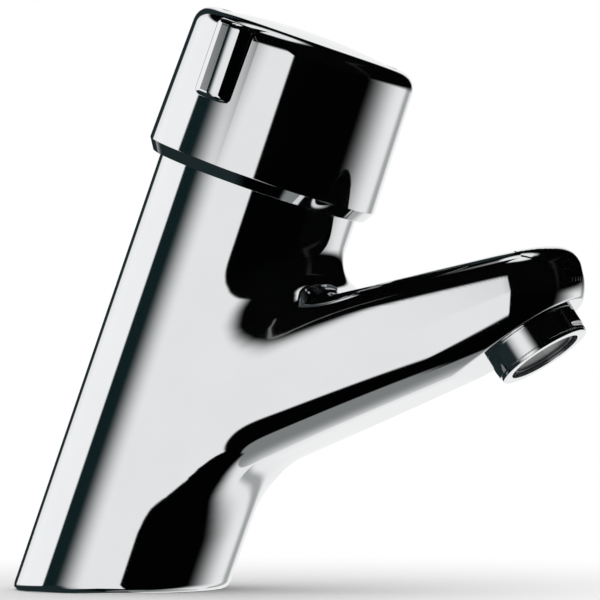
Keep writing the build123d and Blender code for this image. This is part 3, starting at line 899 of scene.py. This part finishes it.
    def tube(self, seam: Array) -> tuple[Grid, Grid, Grid]:
        """The spout outside the seam, its tip, the flat's edge and the flat itself.

        Sections turn from the seam's own shape to a plane, and then fan about a line under the
        tip until they lie on the aerator's flat. Over the straight ones their spokes go from the
        seam's angles to even ones.

        Args:
            seam: the points of the seam.

        Returns:
            The patches.
        """
        last = self.aerator_lean
        flat = self.flat_centre - self.spray * self.edge_round
        pivot = flat - self.pivot_reach * pitched(last)
        fan = np.linspace(self.fan_start, last, self.tube_fan + 1)[1:]
        turn = np.concatenate([np.full(self.tube_straight, self.fan_start), fan])
        edge = pitched(turn)
        share = Ramp(0.0, self.tube_straight - 1.0).at(np.arange(len(turn)))[:, None]
        fanned = Ramp(self.fan_start, last).at(turn)
        length = self.pivot_start + (self.pivot_reach - self.pivot_start) * fanned
        first = np.array(self.tube_start)
        centre = first + (pivot + edge * length[:, None] - first) * share
        beam = seam - first
        slope = np.unwrap(np.arctan2(beam[:, 1], beam @ edge[0]))
        full = math.copysign(FULL_TURN, slope[-1] - slope[0])
        even = slope[0] + np.linspace(0.0, full, len(slope), endpoint=False)
        angle = (slope * (1.0 - share) + even * share)[..., None]
        planar = np.cos(angle) * edge[:, None] + np.sin(angle) * SIDEWAYS
        way = unit(unit(beam) * (1.0 - share[..., None]) + planar * share[..., None])
        points = leave(self.body, centre[:, None], way, *self.tube_ray)
        skin = Grid(points, self.facing(points))
        return skin, *self.outlet(points[-1], skin.normals[-1], planar[-1])

    def outlet(self, end: Array, facing: Array, spokes: Array) -> tuple[Grid, Grid]:
        """The broken edge around the aerator's flat, and the flat down to its pocket.

        Args:
            end: the last section of the spout's skin.
            facing: its normals.
            spokes: directions from the flat's middle, in the flat.

        Returns:
            The edge and the flat.
        """
        corner = leave(self.body, self.flat_centre, spokes, *self.flat_ray)
        inward = unit(self.flat_centre - corner)
        rim = corner + inward * self.edge_round
        sweep = np.linspace(0.0, QUARTER_TURN, self.flat_rows)[:, None, None]
        lift = (1.0 - np.sin(sweep)) * (end - corner)
        bend = corner + lift + (1.0 - np.cos(sweep)) * (rim - corner)
        shade = unit(np.cos(sweep) * facing + np.sin(sweep) * self.spray)
        inner = self.flat_centre - inward * self.pocket_radius
        face = rim + (inner - rim) * np.linspace(0.0, 1.0, self.flat_rows)[:, None, None]
        return Grid(bend, shade), Grid(face, np.zeros_like(face) + self.spray)

    def core(self, node: bpy.types.Object) -> tuple[Array, Array]:
        """The faces of the CAD body that the skin doesn't make: bores, pocket and underside.

        Args:
            node: the CAD body.

        Returns:
            Corner points and corner normals, three for each face.
        """
        mesh = node.data
        place = mesh_rows(mesh.vertices, "co", 3, float) / MM
        corner = mesh_rows(mesh.loops, "vertex_index", 1, np.int64).reshape(-1, 3)
        facing = mesh_rows(mesh.corner_normals, "vector", 3, float).reshape(-1, 3, 3)
        faces = place[corner]
        middle = faces.mean(axis=1)
        inside = self.body(middle) < -self.core_depth
        low = middle[:, 2] < self.on_plane
        level = low & (np.hypot(middle[:, 0], middle[:, 1]) < self.seal_outer)
        neck = middle @ self.axis.along > self.neck_high
        flat = np.abs((middle - self.flat_centre) @ self.spray) < self.on_plane
        kept = (inside | level | neck) & ~flat & ~(low & ~level)
        return faces[kept], facing[kept]

    def build(self, node: bpy.types.Object, material: bpy.types.Material) -> None:
        """Makes the skin and the core, and hides the CAD body.

        Args:
            node: the CAD body.
            material: the chrome.
        """
        collar = self.collar()
        skin = Patches("casting_skin", (collar, *self.foot(), *self.tube(collar.points[0])))
        core = Triangles("casting_core", *self.core(node))
        for surface in (skin, core):
            attach(surface.build(material), Body.TAP, node.name)


def turned_profile(
    corners: list[Span], radii: list[float], closed: bool, steps: int = 7
) -> tuple[Array, Array]:
    """A profile of radius and height, with a round at each corner.

    A round's normals turn evenly from one side's to the other's, and its points lie one radius
    along them from its middle, which is on the line that halves the corner.

    Args:
        corners: its corners, the solid on the left of the way round.
        radii: the round at each corner; 0 keeps the corner as one point of a smooth curve.
        closed: whether the last corner joins the first.
        steps: points in each round.

    Returns:
        Points and their outward normals.
    """
    points = np.array(corners, dtype=float)
    count = len(points)
    out: list[Array] = []
    facing: list[Array] = []
    for index, radius in enumerate(radii):
        here = points[index]
        before = points[(index - 1) % count] if closed or index else None
        after = points[(index + 1) % count] if closed or index < count - 1 else None
        ways = [unit(here - before)] if before is not None else []
        ways += [unit(after - here)] if after is not None else []
        sides = [np.array([w[1], -w[0]]) for w in ways]
        if radius == 0.0 or len(sides) < 2:
            out.append(here[None])
            facing.append(unit(sum(sides))[None])
            continue
        cosine = float(np.clip(sides[0] @ sides[1], -1.0, 1.0))
        half = math.acos(cosine) / 2.0
        bend = math.copysign(1.0, ways[0][0] * ways[1][1] - ways[0][1] * ways[1][0])
        middle = here - bend * unit(sides[0] + sides[1]) * radius / math.cos(half)
        share = np.linspace(0.0, 1.0, steps)[:, None]
        normals = unit(
            sides[0] * np.sin((1.0 - share) * 2.0 * half) + sides[1] * np.sin(share * 2.0 * half)
        )
        out.append(middle + bend * normals * radius)
        facing.append(normals)
    return np.concatenate(out), np.concatenate(facing)


def lathe(
    axis: Barrel, points: Array, normals: Array, closed: bool, columns: int = 240
) -> Grid:
    """Turns a profile about the leaning axis.

    Args:
        axis: the axis.
        points: radius and height of the profile's points.
        normals: their normals in the same plane.
        closed: whether the last point joins the first.
        columns: points around.

    Returns:
        The patch.
    """
    if closed:
        points, normals = (np.concatenate([rows, rows[:1]]) for rows in (points, normals))
    turn = np.linspace(0.0, FULL_TURN, columns, endpoint=False)[None]
    place, facing = (axis.place(rows[:, :1], turn, rows[:, 1:]) for rows in (points, normals))
    return Grid(place, unit(facing))


@dataclass(frozen=True)
class Knob:
    """The knob's shell with its lug, and the domed cap in its rim.

    Foot, rim, recess, screw seat, crown and bore top are heights along the axis, and so are the
    lug's low and high ends. Both bores are radii.
    """

    # The shell
    axis: Barrel = Barrel()
    foot: float = 104.8
    chamfer_height: float = 2.75
    bore: float = 25.35
    foot_radius: float = 27.0
    wide_radius: float = 28.69
    top_radius: float = 27.75
    rim: float = 142.17
    rim_round: float = 4.6
    recess_radius: float = 22.6
    recess: float = 139.9
    head_radius: float = 5.5
    screw_seat: float = 137.5
    screw_radius: float = 2.6
    crown: float = 135.5
    inner_bore: float = 23.5
    bore_top: float = 119.0
    edge: float = 0.25

    # The cap
    cap_radius: float = 22.5
    cap_edge: float = 2.0
    cap_dome: float = 1.8
    cap_dome_rows: int = 25
    cap_chamfer: float = 0.4
    cap_side_round: float = 0.15
    cap_fine_round: float = 0.1
    cap_pocket_radius: float = 6.5
    cap_pocket: float = 1.0

    # The lug
    lug_turn: float = math.radians(-105.0)
    lug_half_width: float = 5.4
    lug_inner: float = 24.5
    lug_outer: float = 32.1
    lug_low: float = 121.6
    lug_high: float = 140.6
    lug_corner: float = 4.2
    lug_corner_least: float = 0.05
    lug_corner_steps: int = 15
    lug_round: float = 1.6
    lug_round_rows: int = 9
    lug_end_rows: int = 6
    lug_end_half_width: float = 0.02
    lug_tilt: float = 0.14

    def shell(self) -> Grid:
        """The turned shell, inside and out.

        Returns:
            The patch.
        """
        corners = [
            (self.bore, self.foot), (self.foot_radius, self.foot),
            (self.wide_radius, self.foot + self.chamfer_height), (self.top_radius, self.rim),
            (self.recess_radius, self.rim), (self.recess_radius, self.recess),
            (self.head_radius, self.recess), (self.head_radius, self.screw_seat),
            (self.screw_radius, self.screw_seat), (self.screw_radius, self.crown),
            (self.inner_bore, self.crown), (self.inner_bore, self.bore_top),
            (self.bore, self.bore_top),
        ]
        radii = [self.edge] * len(corners)
        radii[corners.index((self.top_radius, self.rim))] = self.rim_round
        radii[corners.index((self.recess_radius, self.rim))] = self.edge / 2.0
        return lathe(self.axis, *turned_profile(corners, radii, closed=True), closed=True)

    def cap(self) -> Grid:
        """The cap: a shallow dome with a broken edge and a pocket below.

        The dome is part of a ball whose radius follows from the dome's width and height.

        Returns:
            The patch.
        """
        low, edge = self.recess, self.recess + self.cap_edge
        rim = self.cap_radius - self.cap_chamfer
        ball = (rim**2 + self.cap_dome**2) / (2.0 * self.cap_dome)
        turn = np.linspace(math.asin(rim / ball), 0.0, self.cap_dome_rows)[1:]
        dome = np.stack(
            [ball * np.sin(turn), edge + self.cap_dome - ball * (1.0 - np.cos(turn))], axis=-1
        )
        dome[-1, 0] = 0.0
        side, fine = self.cap_side_round, self.cap_fine_round
        corners = [
            (0.0, low + self.cap_pocket), (self.cap_pocket_radius, low + self.cap_pocket),
            (self.cap_pocket_radius, low), (self.cap_radius, low),
            (self.cap_radius, edge - self.cap_chamfer), (rim, edge), *map(tuple, dome),
        ]
        radii = [0.0, fine, fine, side, side, fine] + [0.0] * len(dome)
        points, normals = turned_profile(corners, radii, closed=False)
        return lathe(self.axis, points, normals, closed=False)

    def lug_section(self, inset: float) -> tuple[Array, Array]:
        """Outline of the lug square to the barrel.

        Args:
            inset: how far it lies inside the full outline.

        Returns:
            Points of radius and half width, and their normals.
        """
        half, outer = self.lug_half_width - inset, self.lug_outer - inset
        lower = outer - self.lug_tilt * 2.0 * half
        corners = [(self.lug_inner, -half), (lower, -half), (outer, half), (self.lug_inner, half)]
        radius = max(self.lug_corner - inset, self.lug_corner_least)
        radii = [0.0, radius, radius, 0.0]
        return turned_profile(corners, radii, closed=False, steps=self.lug_corner_steps)

    def lug(self) -> Grid:
        """The thumb lug: its outline carried up the side, rounded and closed at both ends.

        Each end is a quarter round, after which the outline shrinks level to a narrow slit.

        Returns:
            The patch.
        """
        sweep = np.linspace(0.0, QUARTER_TURN, self.lug_round_rows)
        closing = np.linspace(
            self.lug_round, self.lug_half_width - self.lug_end_half_width, self.lug_end_rows
        )[1:]
        inset = np.concatenate([self.lug_round * (1.0 - np.cos(sweep)), closing])
        tilt = np.concatenate([sweep, np.full(len(closing), QUARTER_TURN)])
        radial = self.axis.radial(self.lug_turn)
        side = np.cross(self.axis.along, radial)
        rows, facing = [], []
        for end, base, order in (
            (-1.0, self.lug_low + self.lug_round, range(len(inset))[::-1]),
            (1.0, self.lug_high - self.lug_round, range(len(inset))),
        ):
            for number in order:
                points, normals = self.lug_section(float(inset[number]))
                lift = end * math.sin(tilt[number])
                height = base + self.lug_round * lift
                rows.append(
                    points[:, :1] * radial + points[:, 1:] * side + height * self.axis.along
                )
                flat = normals[:, :1] * radial + normals[:, 1:] * side
                facing.append(math.cos(tilt[number]) * flat + lift * self.axis.along)
        return Grid(np.stack(rows), unit(np.stack(facing)), ring=False)

    def build(self, material: bpy.types.Material) -> None:
        """Makes shell, lug and cap, and hides the CAD ones.

        Args:
            material: the chrome.
        """
        shell = Patches("knob_shell_skin", (self.shell(), self.lug()))
        cap = Patches("knob_cap_skin", (self.cap(),))
        for surface, node in ((shell, "knob_shell"), (cap, "knob_cap")):
            attach(surface.build(material), Body.KNOB, node)


class RingCorner(IntEnum):
    """Corners of the aerator's section that the spanner's flats move, by number."""

    COLLAR_END = 4
    FLAT_START = 5
    FLAT_END = 6
    LIP_START = 7


@dataclass(frozen=True)
class Aerator:
    """The aerator's housing: a turned ring whose collar has two flats for a spanner.

    The profile is turned about the outlet's axis. Where the flats cut in, its rows move from a
    plain collar towards a stepped one in proportion to the flat's depth at that angle.
    """

    casting: Casting = Casting()
    thread_radius: float = 10.8
    thread_length: float = 9.0
    collar_height: float = 4.3
    flats_height: float = 1.5
    flats_half_width: float = 10.7
    normals_lead: float = 12.0
    lip_radius: float = 11.3
    lip_depth: float = 0.8
    bore: float = 9.4
    ledge: float = 0.5
    recess: float = 1.3
    edge: float = 0.16
    steps: int = 6
    columns: int = 320
    least_cosine: float = 0.01

    def rows(self, start: float, end: float) -> slice:
        """The section's rows from one corner to the next; 5.5 is the middle of corner 5."""
        return slice(int(start * self.steps), int(end * self.steps))

    def stepped(self) -> tuple[Array, Array]:
        """The ring's section where the flats are deepest.

        Returns:
            Points of radius and height, and outward normals.
        """
        start = self.collar_height
        top = start + self.flats_height
        end = top + self.lip_depth
        collar, flat, hole = (
            self.casting.collar_radius, self.flats_half_width, self.bore - self.ledge,
        )
        corners = [
            (self.bore, -self.thread_length), (self.thread_radius, -self.thread_length),
            (self.thread_radius, 0.0), (collar, 0.0), (collar, start), (flat, start),
            (flat, top), (self.lip_radius, top), (self.lip_radius, end), (hole, end),
            (hole, end - self.recess), (self.bore, end - self.recess),
        ]
        radii = [self.edge] * len(corners)
        for corner in (RingCorner.COLLAR_END, RingCorner.FLAT_START, RingCorner.LIP_START):
            radii[corner] /= 2.0
        return turned_profile(corners, radii, closed=True, steps=self.steps)

    def plain(self, points: Array, normals: Array) -> tuple[Array, Array]:
        """The section where no flat cuts in: the step's points lie on the collar's wall.

        Args:
            points: the stepped section.
            normals: its normals.

        Returns:
            Points and normals of the plain section.
        """
        points, normals = points.copy(), normals.copy()
        step = self.rows(RingCorner.COLLAR_END, RingCorner.FLAT_END)
        low = self.collar_height - self.edge
        high = self.collar_height + self.flats_height / 2.0
        points[step, 0] = self.casting.collar_radius
        points[step, 1] = np.linspace(low, high, step.stop - step.start)
        normals[step] = (1.0, 0.0)
        end = self.rows(RingCorner.FLAT_END, RingCorner.LIP_START)
        points[end, 0] += self.casting.collar_radius - self.flats_half_width
        return points, normals

    def ring(self) -> Grid:
        """The housing's surface. On a flat, the wall faces square to it and not outwards.

        The normals change over sooner than the points, by the factor normals_lead.

        Returns:
            The patch.
        """
        stepped = self.stepped()
        plain = self.plain(*stepped)
        turn = np.linspace(0.0, FULL_TURN, self.columns, endpoint=False)
        reach = self.flats_half_width / np.maximum(np.abs(np.cos(turn)), self.least_cosine)
        depth = Ramp(self.casting.collar_radius, self.flats_half_width).at(reach)
        share = depth[None, :, None]
        shown = np.clip(share * self.normals_lead, 0.0, 1.0)
        points, normals = (
            before[:, None] + amount * (after - before)[:, None]
            for before, after, amount in zip(plain, stepped, (share, shown))
        )
        normals = unit(normals)
        on_flat = np.zeros((len(points), 1, 1))
        on_flat[self.rows(RingCorner.FLAT_START + 0.5, RingCorner.FLAT_END + 0.5)] = 1.0
        on_flat = on_flat * shown
        along, spray = pitched(self.casting.aerator_lean), self.casting.spray
        out = np.cos(turn)[:, None] * along + np.sin(turn)[:, None] * SIDEWAYS
        facing = out * (1.0 - on_flat) + np.sign(np.cos(turn))[:, None] * along * on_flat
        place = self.casting.flat_centre + points[..., :1] * out + points[..., 1:] * spray
        shade = unit(normals[..., :1] * facing + normals[..., 1:] * spray)
        return Grid(*(np.concatenate([part, part[:1]]) for part in (place, shade)))

    def build(self, material: bpy.types.Material) -> None:
        """Makes the ring of chrome and hides the CAD one."""
        ring = Patches("aerator_skin", (self.ring(),)).build(material)
        attach(ring, Body.TAP, "aerator_housing")


@dataclass(frozen=True)
class Softened:
    """A CAD node remade from a merged copy, with its sharp edges broken.

    Faces that meet at less than the flat angle are joined first, and edges at which faces meet
    at more than the sharp angle are broken.
    """

    node: str
    body: Body
    slot: Slot
    width: float
    segments: int = 2
    sharp: float = math.radians(32.0)
    flat: float = math.radians(0.5)

    def build(self, source: bpy.types.Object, material: bpy.types.Material) -> None:
        """Makes the copy and hides the CAD node.

        Args:
            source: the CAD node.
            material: the finish.
        """
        mesh = bpy.data.meshes.new(f"{self.node}_skin")
        work = bmesh.new()
        work.from_mesh(source.data)
        bmesh.ops.remove_doubles(work, verts=work.verts, dist=WELD * MM)
        bmesh.ops.dissolve_limit(
            work, angle_limit=self.flat, verts=work.verts, edges=work.edges
        )
        work.to_mesh(mesh)
        work.free()
        mesh.shade_smooth()
        made = link(mesh, material)
        edge = made.modifiers.new("edge", "BEVEL")
        edge.width = self.width * MM
        edge.segments = self.segments
        edge.limit_method = "ANGLE"
        edge.angle_limit = self.sharp
        edge.use_clamp_overlap = True
        edge.harden_normals = True
        attach(made, self.body, self.node)


INSERT = Softened("aerator_insert", Body.TAP, Slot.INSERT, width=0.14)


@dataclass(frozen=True)
class Camera:
    """The camera of the photograph, fitted to the tap's outline. Its angles are in degrees."""

    turn: float = 21.803
    tilt: float = -2.4908
    roll: float = -0.3989
    distance: float = 749.25
    focal_px: float = 3114.90
    target: Triple = (48.0747, 0.0, 69.7811)
    sensor: float = 36.0
    image_px: float = 600.0
    clip_start: float = 0.01

    def axes(self) -> tuple[Vector, Vector, Vector]:
        """The directions of the camera's right, up and back.

        Returns:
            Three unit vectors.
        """
        turn, tilt, roll = (math.radians(a) for a in (self.turn, self.tilt, self.roll))
        back = Vector(
            (math.sin(turn) * math.cos(tilt), -math.cos(turn) * math.cos(tilt), math.sin(tilt))
        )
        right = Vector((math.cos(turn), math.sin(turn), 0.0))
        up = back.cross(right)
        turned = math.cos(roll) * right + math.sin(roll) * up
        return turned, back.cross(turned), back

    def build(self) -> None:
        """Makes the camera and makes it the scene's."""
        axes = self.axes()
        data = bpy.data.cameras.new("camera")
        data.sensor_width = self.sensor
        data.lens = self.focal_px * self.sensor / self.image_px
        data.clip_start = self.clip_start
        camera = bpy.data.objects.new("camera", data)
        bpy.context.collection.objects.link(camera)
        place = (Vector(self.target) + axes[-1] * self.distance) * MM
        rows = [[*row, part] for row, part in zip(zip(*axes), place)]
        camera.matrix_world = Matrix([*rows, [0.0, 0.0, 0.0, 1.0]])
        bpy.context.scene.camera = camera


# A turn or lift past all others, for a side on which a card goes on without an edge
OPEN = 400.0
ANYWHERE = (-OPEN, OPEN)
BLACK = (0.0006, 0.0007, 0.0008)
DIM_TEAL = (0.015, 0.025, 0.027)


@dataclass(frozen=True)
class Card:
    """A soft-edged patch of the studio's surroundings, by direction as seen from the tap.

    Turn is measured from the camera's side, positive to its right, and lift from level, both in
    degrees. Slant leans the card's sides. Fall holds a turn and a rate: past that turn, the card
    lies lower by the rate. Where an end is given, the colour goes from the level to it over the
    ramp of lifts.
    """

    level: Triple
    turn: Span
    lift: Span
    turn_soft: Span = (3.0, 3.0)
    lift_soft: Span = (3.0, 3.0)
    slant: float = 0.0
    fall: Span = (0.0, 0.0)
    end: Triple | None = None
    ramp: Span = (-90.0, 90.0)

    def cover(self, turn: Wire, lift: Wire) -> Wire:
        """How much of a direction the card covers.

        Args:
            turn: the direction's turn, in degrees.
            lift: its lift, in degrees.

        Returns:
            1 on the card, 0 off it, with a smooth edge between.
        """
        lift = lift + (turn - self.fall[0]).higher(0.0) * self.fall[1]
        turn = turn + lift * self.slant
        left = turn.step(self.turn[0], self.turn[0] + self.turn_soft[0])
        right = turn.step(self.turn[1] - self.turn_soft[1], self.turn[1])
        low = lift.step(self.lift[0], self.lift[0] + self.lift_soft[0])
        high = lift.step(self.lift[1] - self.lift_soft[1], self.lift[1])
        return left * (1.0 - right) * low * (1.0 - high)

    def colour(self, graph: Graph, lift: Wire) -> Value:
        """The card's colour, which can change with the lift.

        Args:
            graph: the world's node tree.
            lift: the direction's lift, in degrees.

        Returns:
            A colour or a wire.
        """
        if self.end is None:
            return (*self.level, 1.0)
        return graph.mix(lift.step(*self.ramp), (*self.level, 1.0), (*self.end, 1.0))


@dataclass(frozen=True)
class Studio:
    """A pale floor in a white studio with dark cards, which only the metal sees."""

    camera: Camera
    floor_radius: float = 1500.0
    floor_sides: int = 96
    floor_level: float = 0.86
    floor_fade: Span = (0.03, 0.22)
    surround: float = 0.95
    cards: tuple[Card, ...] = (
        # A white wall on the left and a dark panel beside it
        Card((1.05, 1.05, 1.05), (-146.0, -86.0), (-90.0, 90.0), (14.0, 3.0)),
        Card((0.006, 0.016, 0.018), (-93.0, -42.0), (-90.0, 90.0), (3.0, 34.0)),
        # The dark right side, a grey screen behind it and a dark patch over both
        Card(BLACK, (-9.5, 126.0), (-OPEN, 76.0), (2.0, 56.0), (3.0, 9.0), slant=0.15),
        Card((0.42, 0.43, 0.43), (134.0, 160.0), (-40.0, 20.0), (12.0, 10.0)),
        Card(BLACK, (60.0, 166.0), (-14.0, 44.0), (20.0, 8.0), (10.0, 10.0), fall=(60.0, -0.12)),
        # Dark above the panel, over the camera and all around under the ceiling
        Card(BLACK, (-105.0, -43.0), (40.0, OPEN), (25.0, 1.0), (8.0, 1.0), fall=(-105.0, 0.57)),
        Card(BLACK, (-44.0, -2.0), (4.0, 76.0), (1.0, 8.0), (14.0, 9.0)),
        Card(BLACK, ANYWHERE, (36.0, 76.0), (1.0, 1.0), (6.0, 9.0)),
        # The dark below, and the pale deck straight under the tap
        Card(BLACK, (-OPEN, 156.0), (-OPEN, -37.0), (12.0, 10.0), (1.0, 3.0), fall=(-30.0, 0.62)),
        Card(
            (0.24, 0.25, 0.25), ANYWHERE, (-OPEN, -78.0), (1.0, 1.0), (1.0, 2.0),
            fall=(95.0, -0.60), end=(0.98, 0.98, 0.98), ramp=(-76.0, -14.0),
        ),
        # A dim patch low on the left and a dim strip behind
        Card(DIM_TEAL, (-168.0, -60.0), (-80.0, 2.0), (8.0, 12.0), (6.0, 8.0)),
        Card(DIM_TEAL, (-176.0, -148.0), (-60.0, 60.0), (4.0, 4.0)),
    )

    def floor(self) -> None:
        """Makes a round floor level with the deck, which keeps the shadow and fades to white."""
        material = bpy.data.materials.new("floor")
        graph = Graph(material)
        paper = graph.node("ShaderNodeBsdfDiffuse", None, {"Color": grey(self.floor_level)})
        glow = graph.node("ShaderNodeEmission", None, {"Color": grey(1.0)})
        place = graph.node("ShaderNodeTexCoord", output="Object")
        reach = graph.node(
            "ShaderNodeVectorMath", {"operation": "LENGTH"}, {0: place}, "Value"
        )
        faded = reach.step(*self.floor_fade)
        shader = graph.node("ShaderNodeMixShader", None, {0: faded, 1: paper, 2: glow})
        graph.node("ShaderNodeOutputMaterial", None, {"Surface": shader})
        angles = np.linspace(0.0, FULL_TURN, self.floor_sides, endpoint=False)
        ring = np.stack([np.cos(angles), np.sin(angles), np.zeros_like(angles)], axis=1)
        mesh = bpy.data.meshes.new("floor")
        mesh.from_pydata(
            (ring * self.floor_radius * MM).tolist(), [], [list(range(self.floor_sides))]
        )
        floor = link(mesh, material)
        floor.visible_glossy = False

    def world(self) -> None:
        """Gives the scene its light: white all around, with dark cards for the metal alone."""
        world = bpy.data.worlds.new("studio")
        bpy.context.scene.world = world
        graph = Graph(world)
        way = graph.node("ShaderNodeTexCoord", output="Generated")
        back = self.camera.axes()[-1]
        flat_back = Vector((back.x, back.y, 0.0)).normalized()
        flat_right = Vector((-flat_back.y, flat_back.x, 0.0))
        right_part, back_part, up_part = (
            graph.node(
                "ShaderNodeVectorMath", {"operation": "DOT_PRODUCT"}, {0: way, 1: axis}, "Value"
            )
            for axis in (flat_right, flat_back, Vector(UPWARDS))
        )
        turn = graph.node(
            "ShaderNodeMath", {"operation": "ARCTAN2"}, {0: right_part, 1: back_part}
        ) * math.degrees(1.0)
        lift = graph.node(
            "ShaderNodeMath", {"operation": "ARCSINE"}, {0: up_part}
        ) * math.degrees(1.0)
        seen: Value = grey(self.surround)
        for card in self.cards:
            seen = graph.mix(card.cover(turn, lift), seen, card.colour(graph, lift))
        glossy = graph.node("ShaderNodeLightPath", output="Is Glossy Ray")
        shown = graph.mix(glossy, grey(1.0), seen)
        light = graph.node("ShaderNodeBackground", None, {"Color": shown, "Strength": 1.0})
        graph.node("ShaderNodeOutputWorld", None, {"Surface": light})

    def build(self) -> None:
        """Makes the floor and the world."""
        bpy.context.scene.view_settings.view_transform = "Standard"
        self.floor()
        self.world()


@dataclass(frozen=True)
class FrameNodes:
    """The nodes of the CAD frame. Those that no other piece replaces keep their own shape."""

    nodes: dict[str, bpy.types.Object]
    materials: dict[Slot, bpy.types.Material]

    def build(self) -> None:
        """Gives each node the material of its slot."""
        for slot, names in NODE_SLOTS.items():
            for name in names:
                node = self.nodes[name]
                node.data.materials.clear()
                node.data.materials.append(self.materials[slot])
                LOG.info("%s: %s", name, slot.value)


def main() -> None:
    """Builds the scene in order and reports each piece."""
    logging.basicConfig(level=logging.INFO, format="%(name)s: %(message)s")
    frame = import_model()
    nodes = frame["nodes"]
    materials = {slot: finish.build() for slot, finish in FINISHES.items()}
    FrameNodes(nodes, materials).build()
    Casting().build(nodes["tap_casting"], materials[Slot.CHROME])
    Knob().build(materials[Slot.CHROME])
    Aerator().build(materials[Slot.CHROME])
    INSERT.build(nodes[INSERT.node], materials[INSERT.slot])
    camera = Camera()
    Studio(camera).build()
    camera.build()


if __name__ == "__main__":
    main()
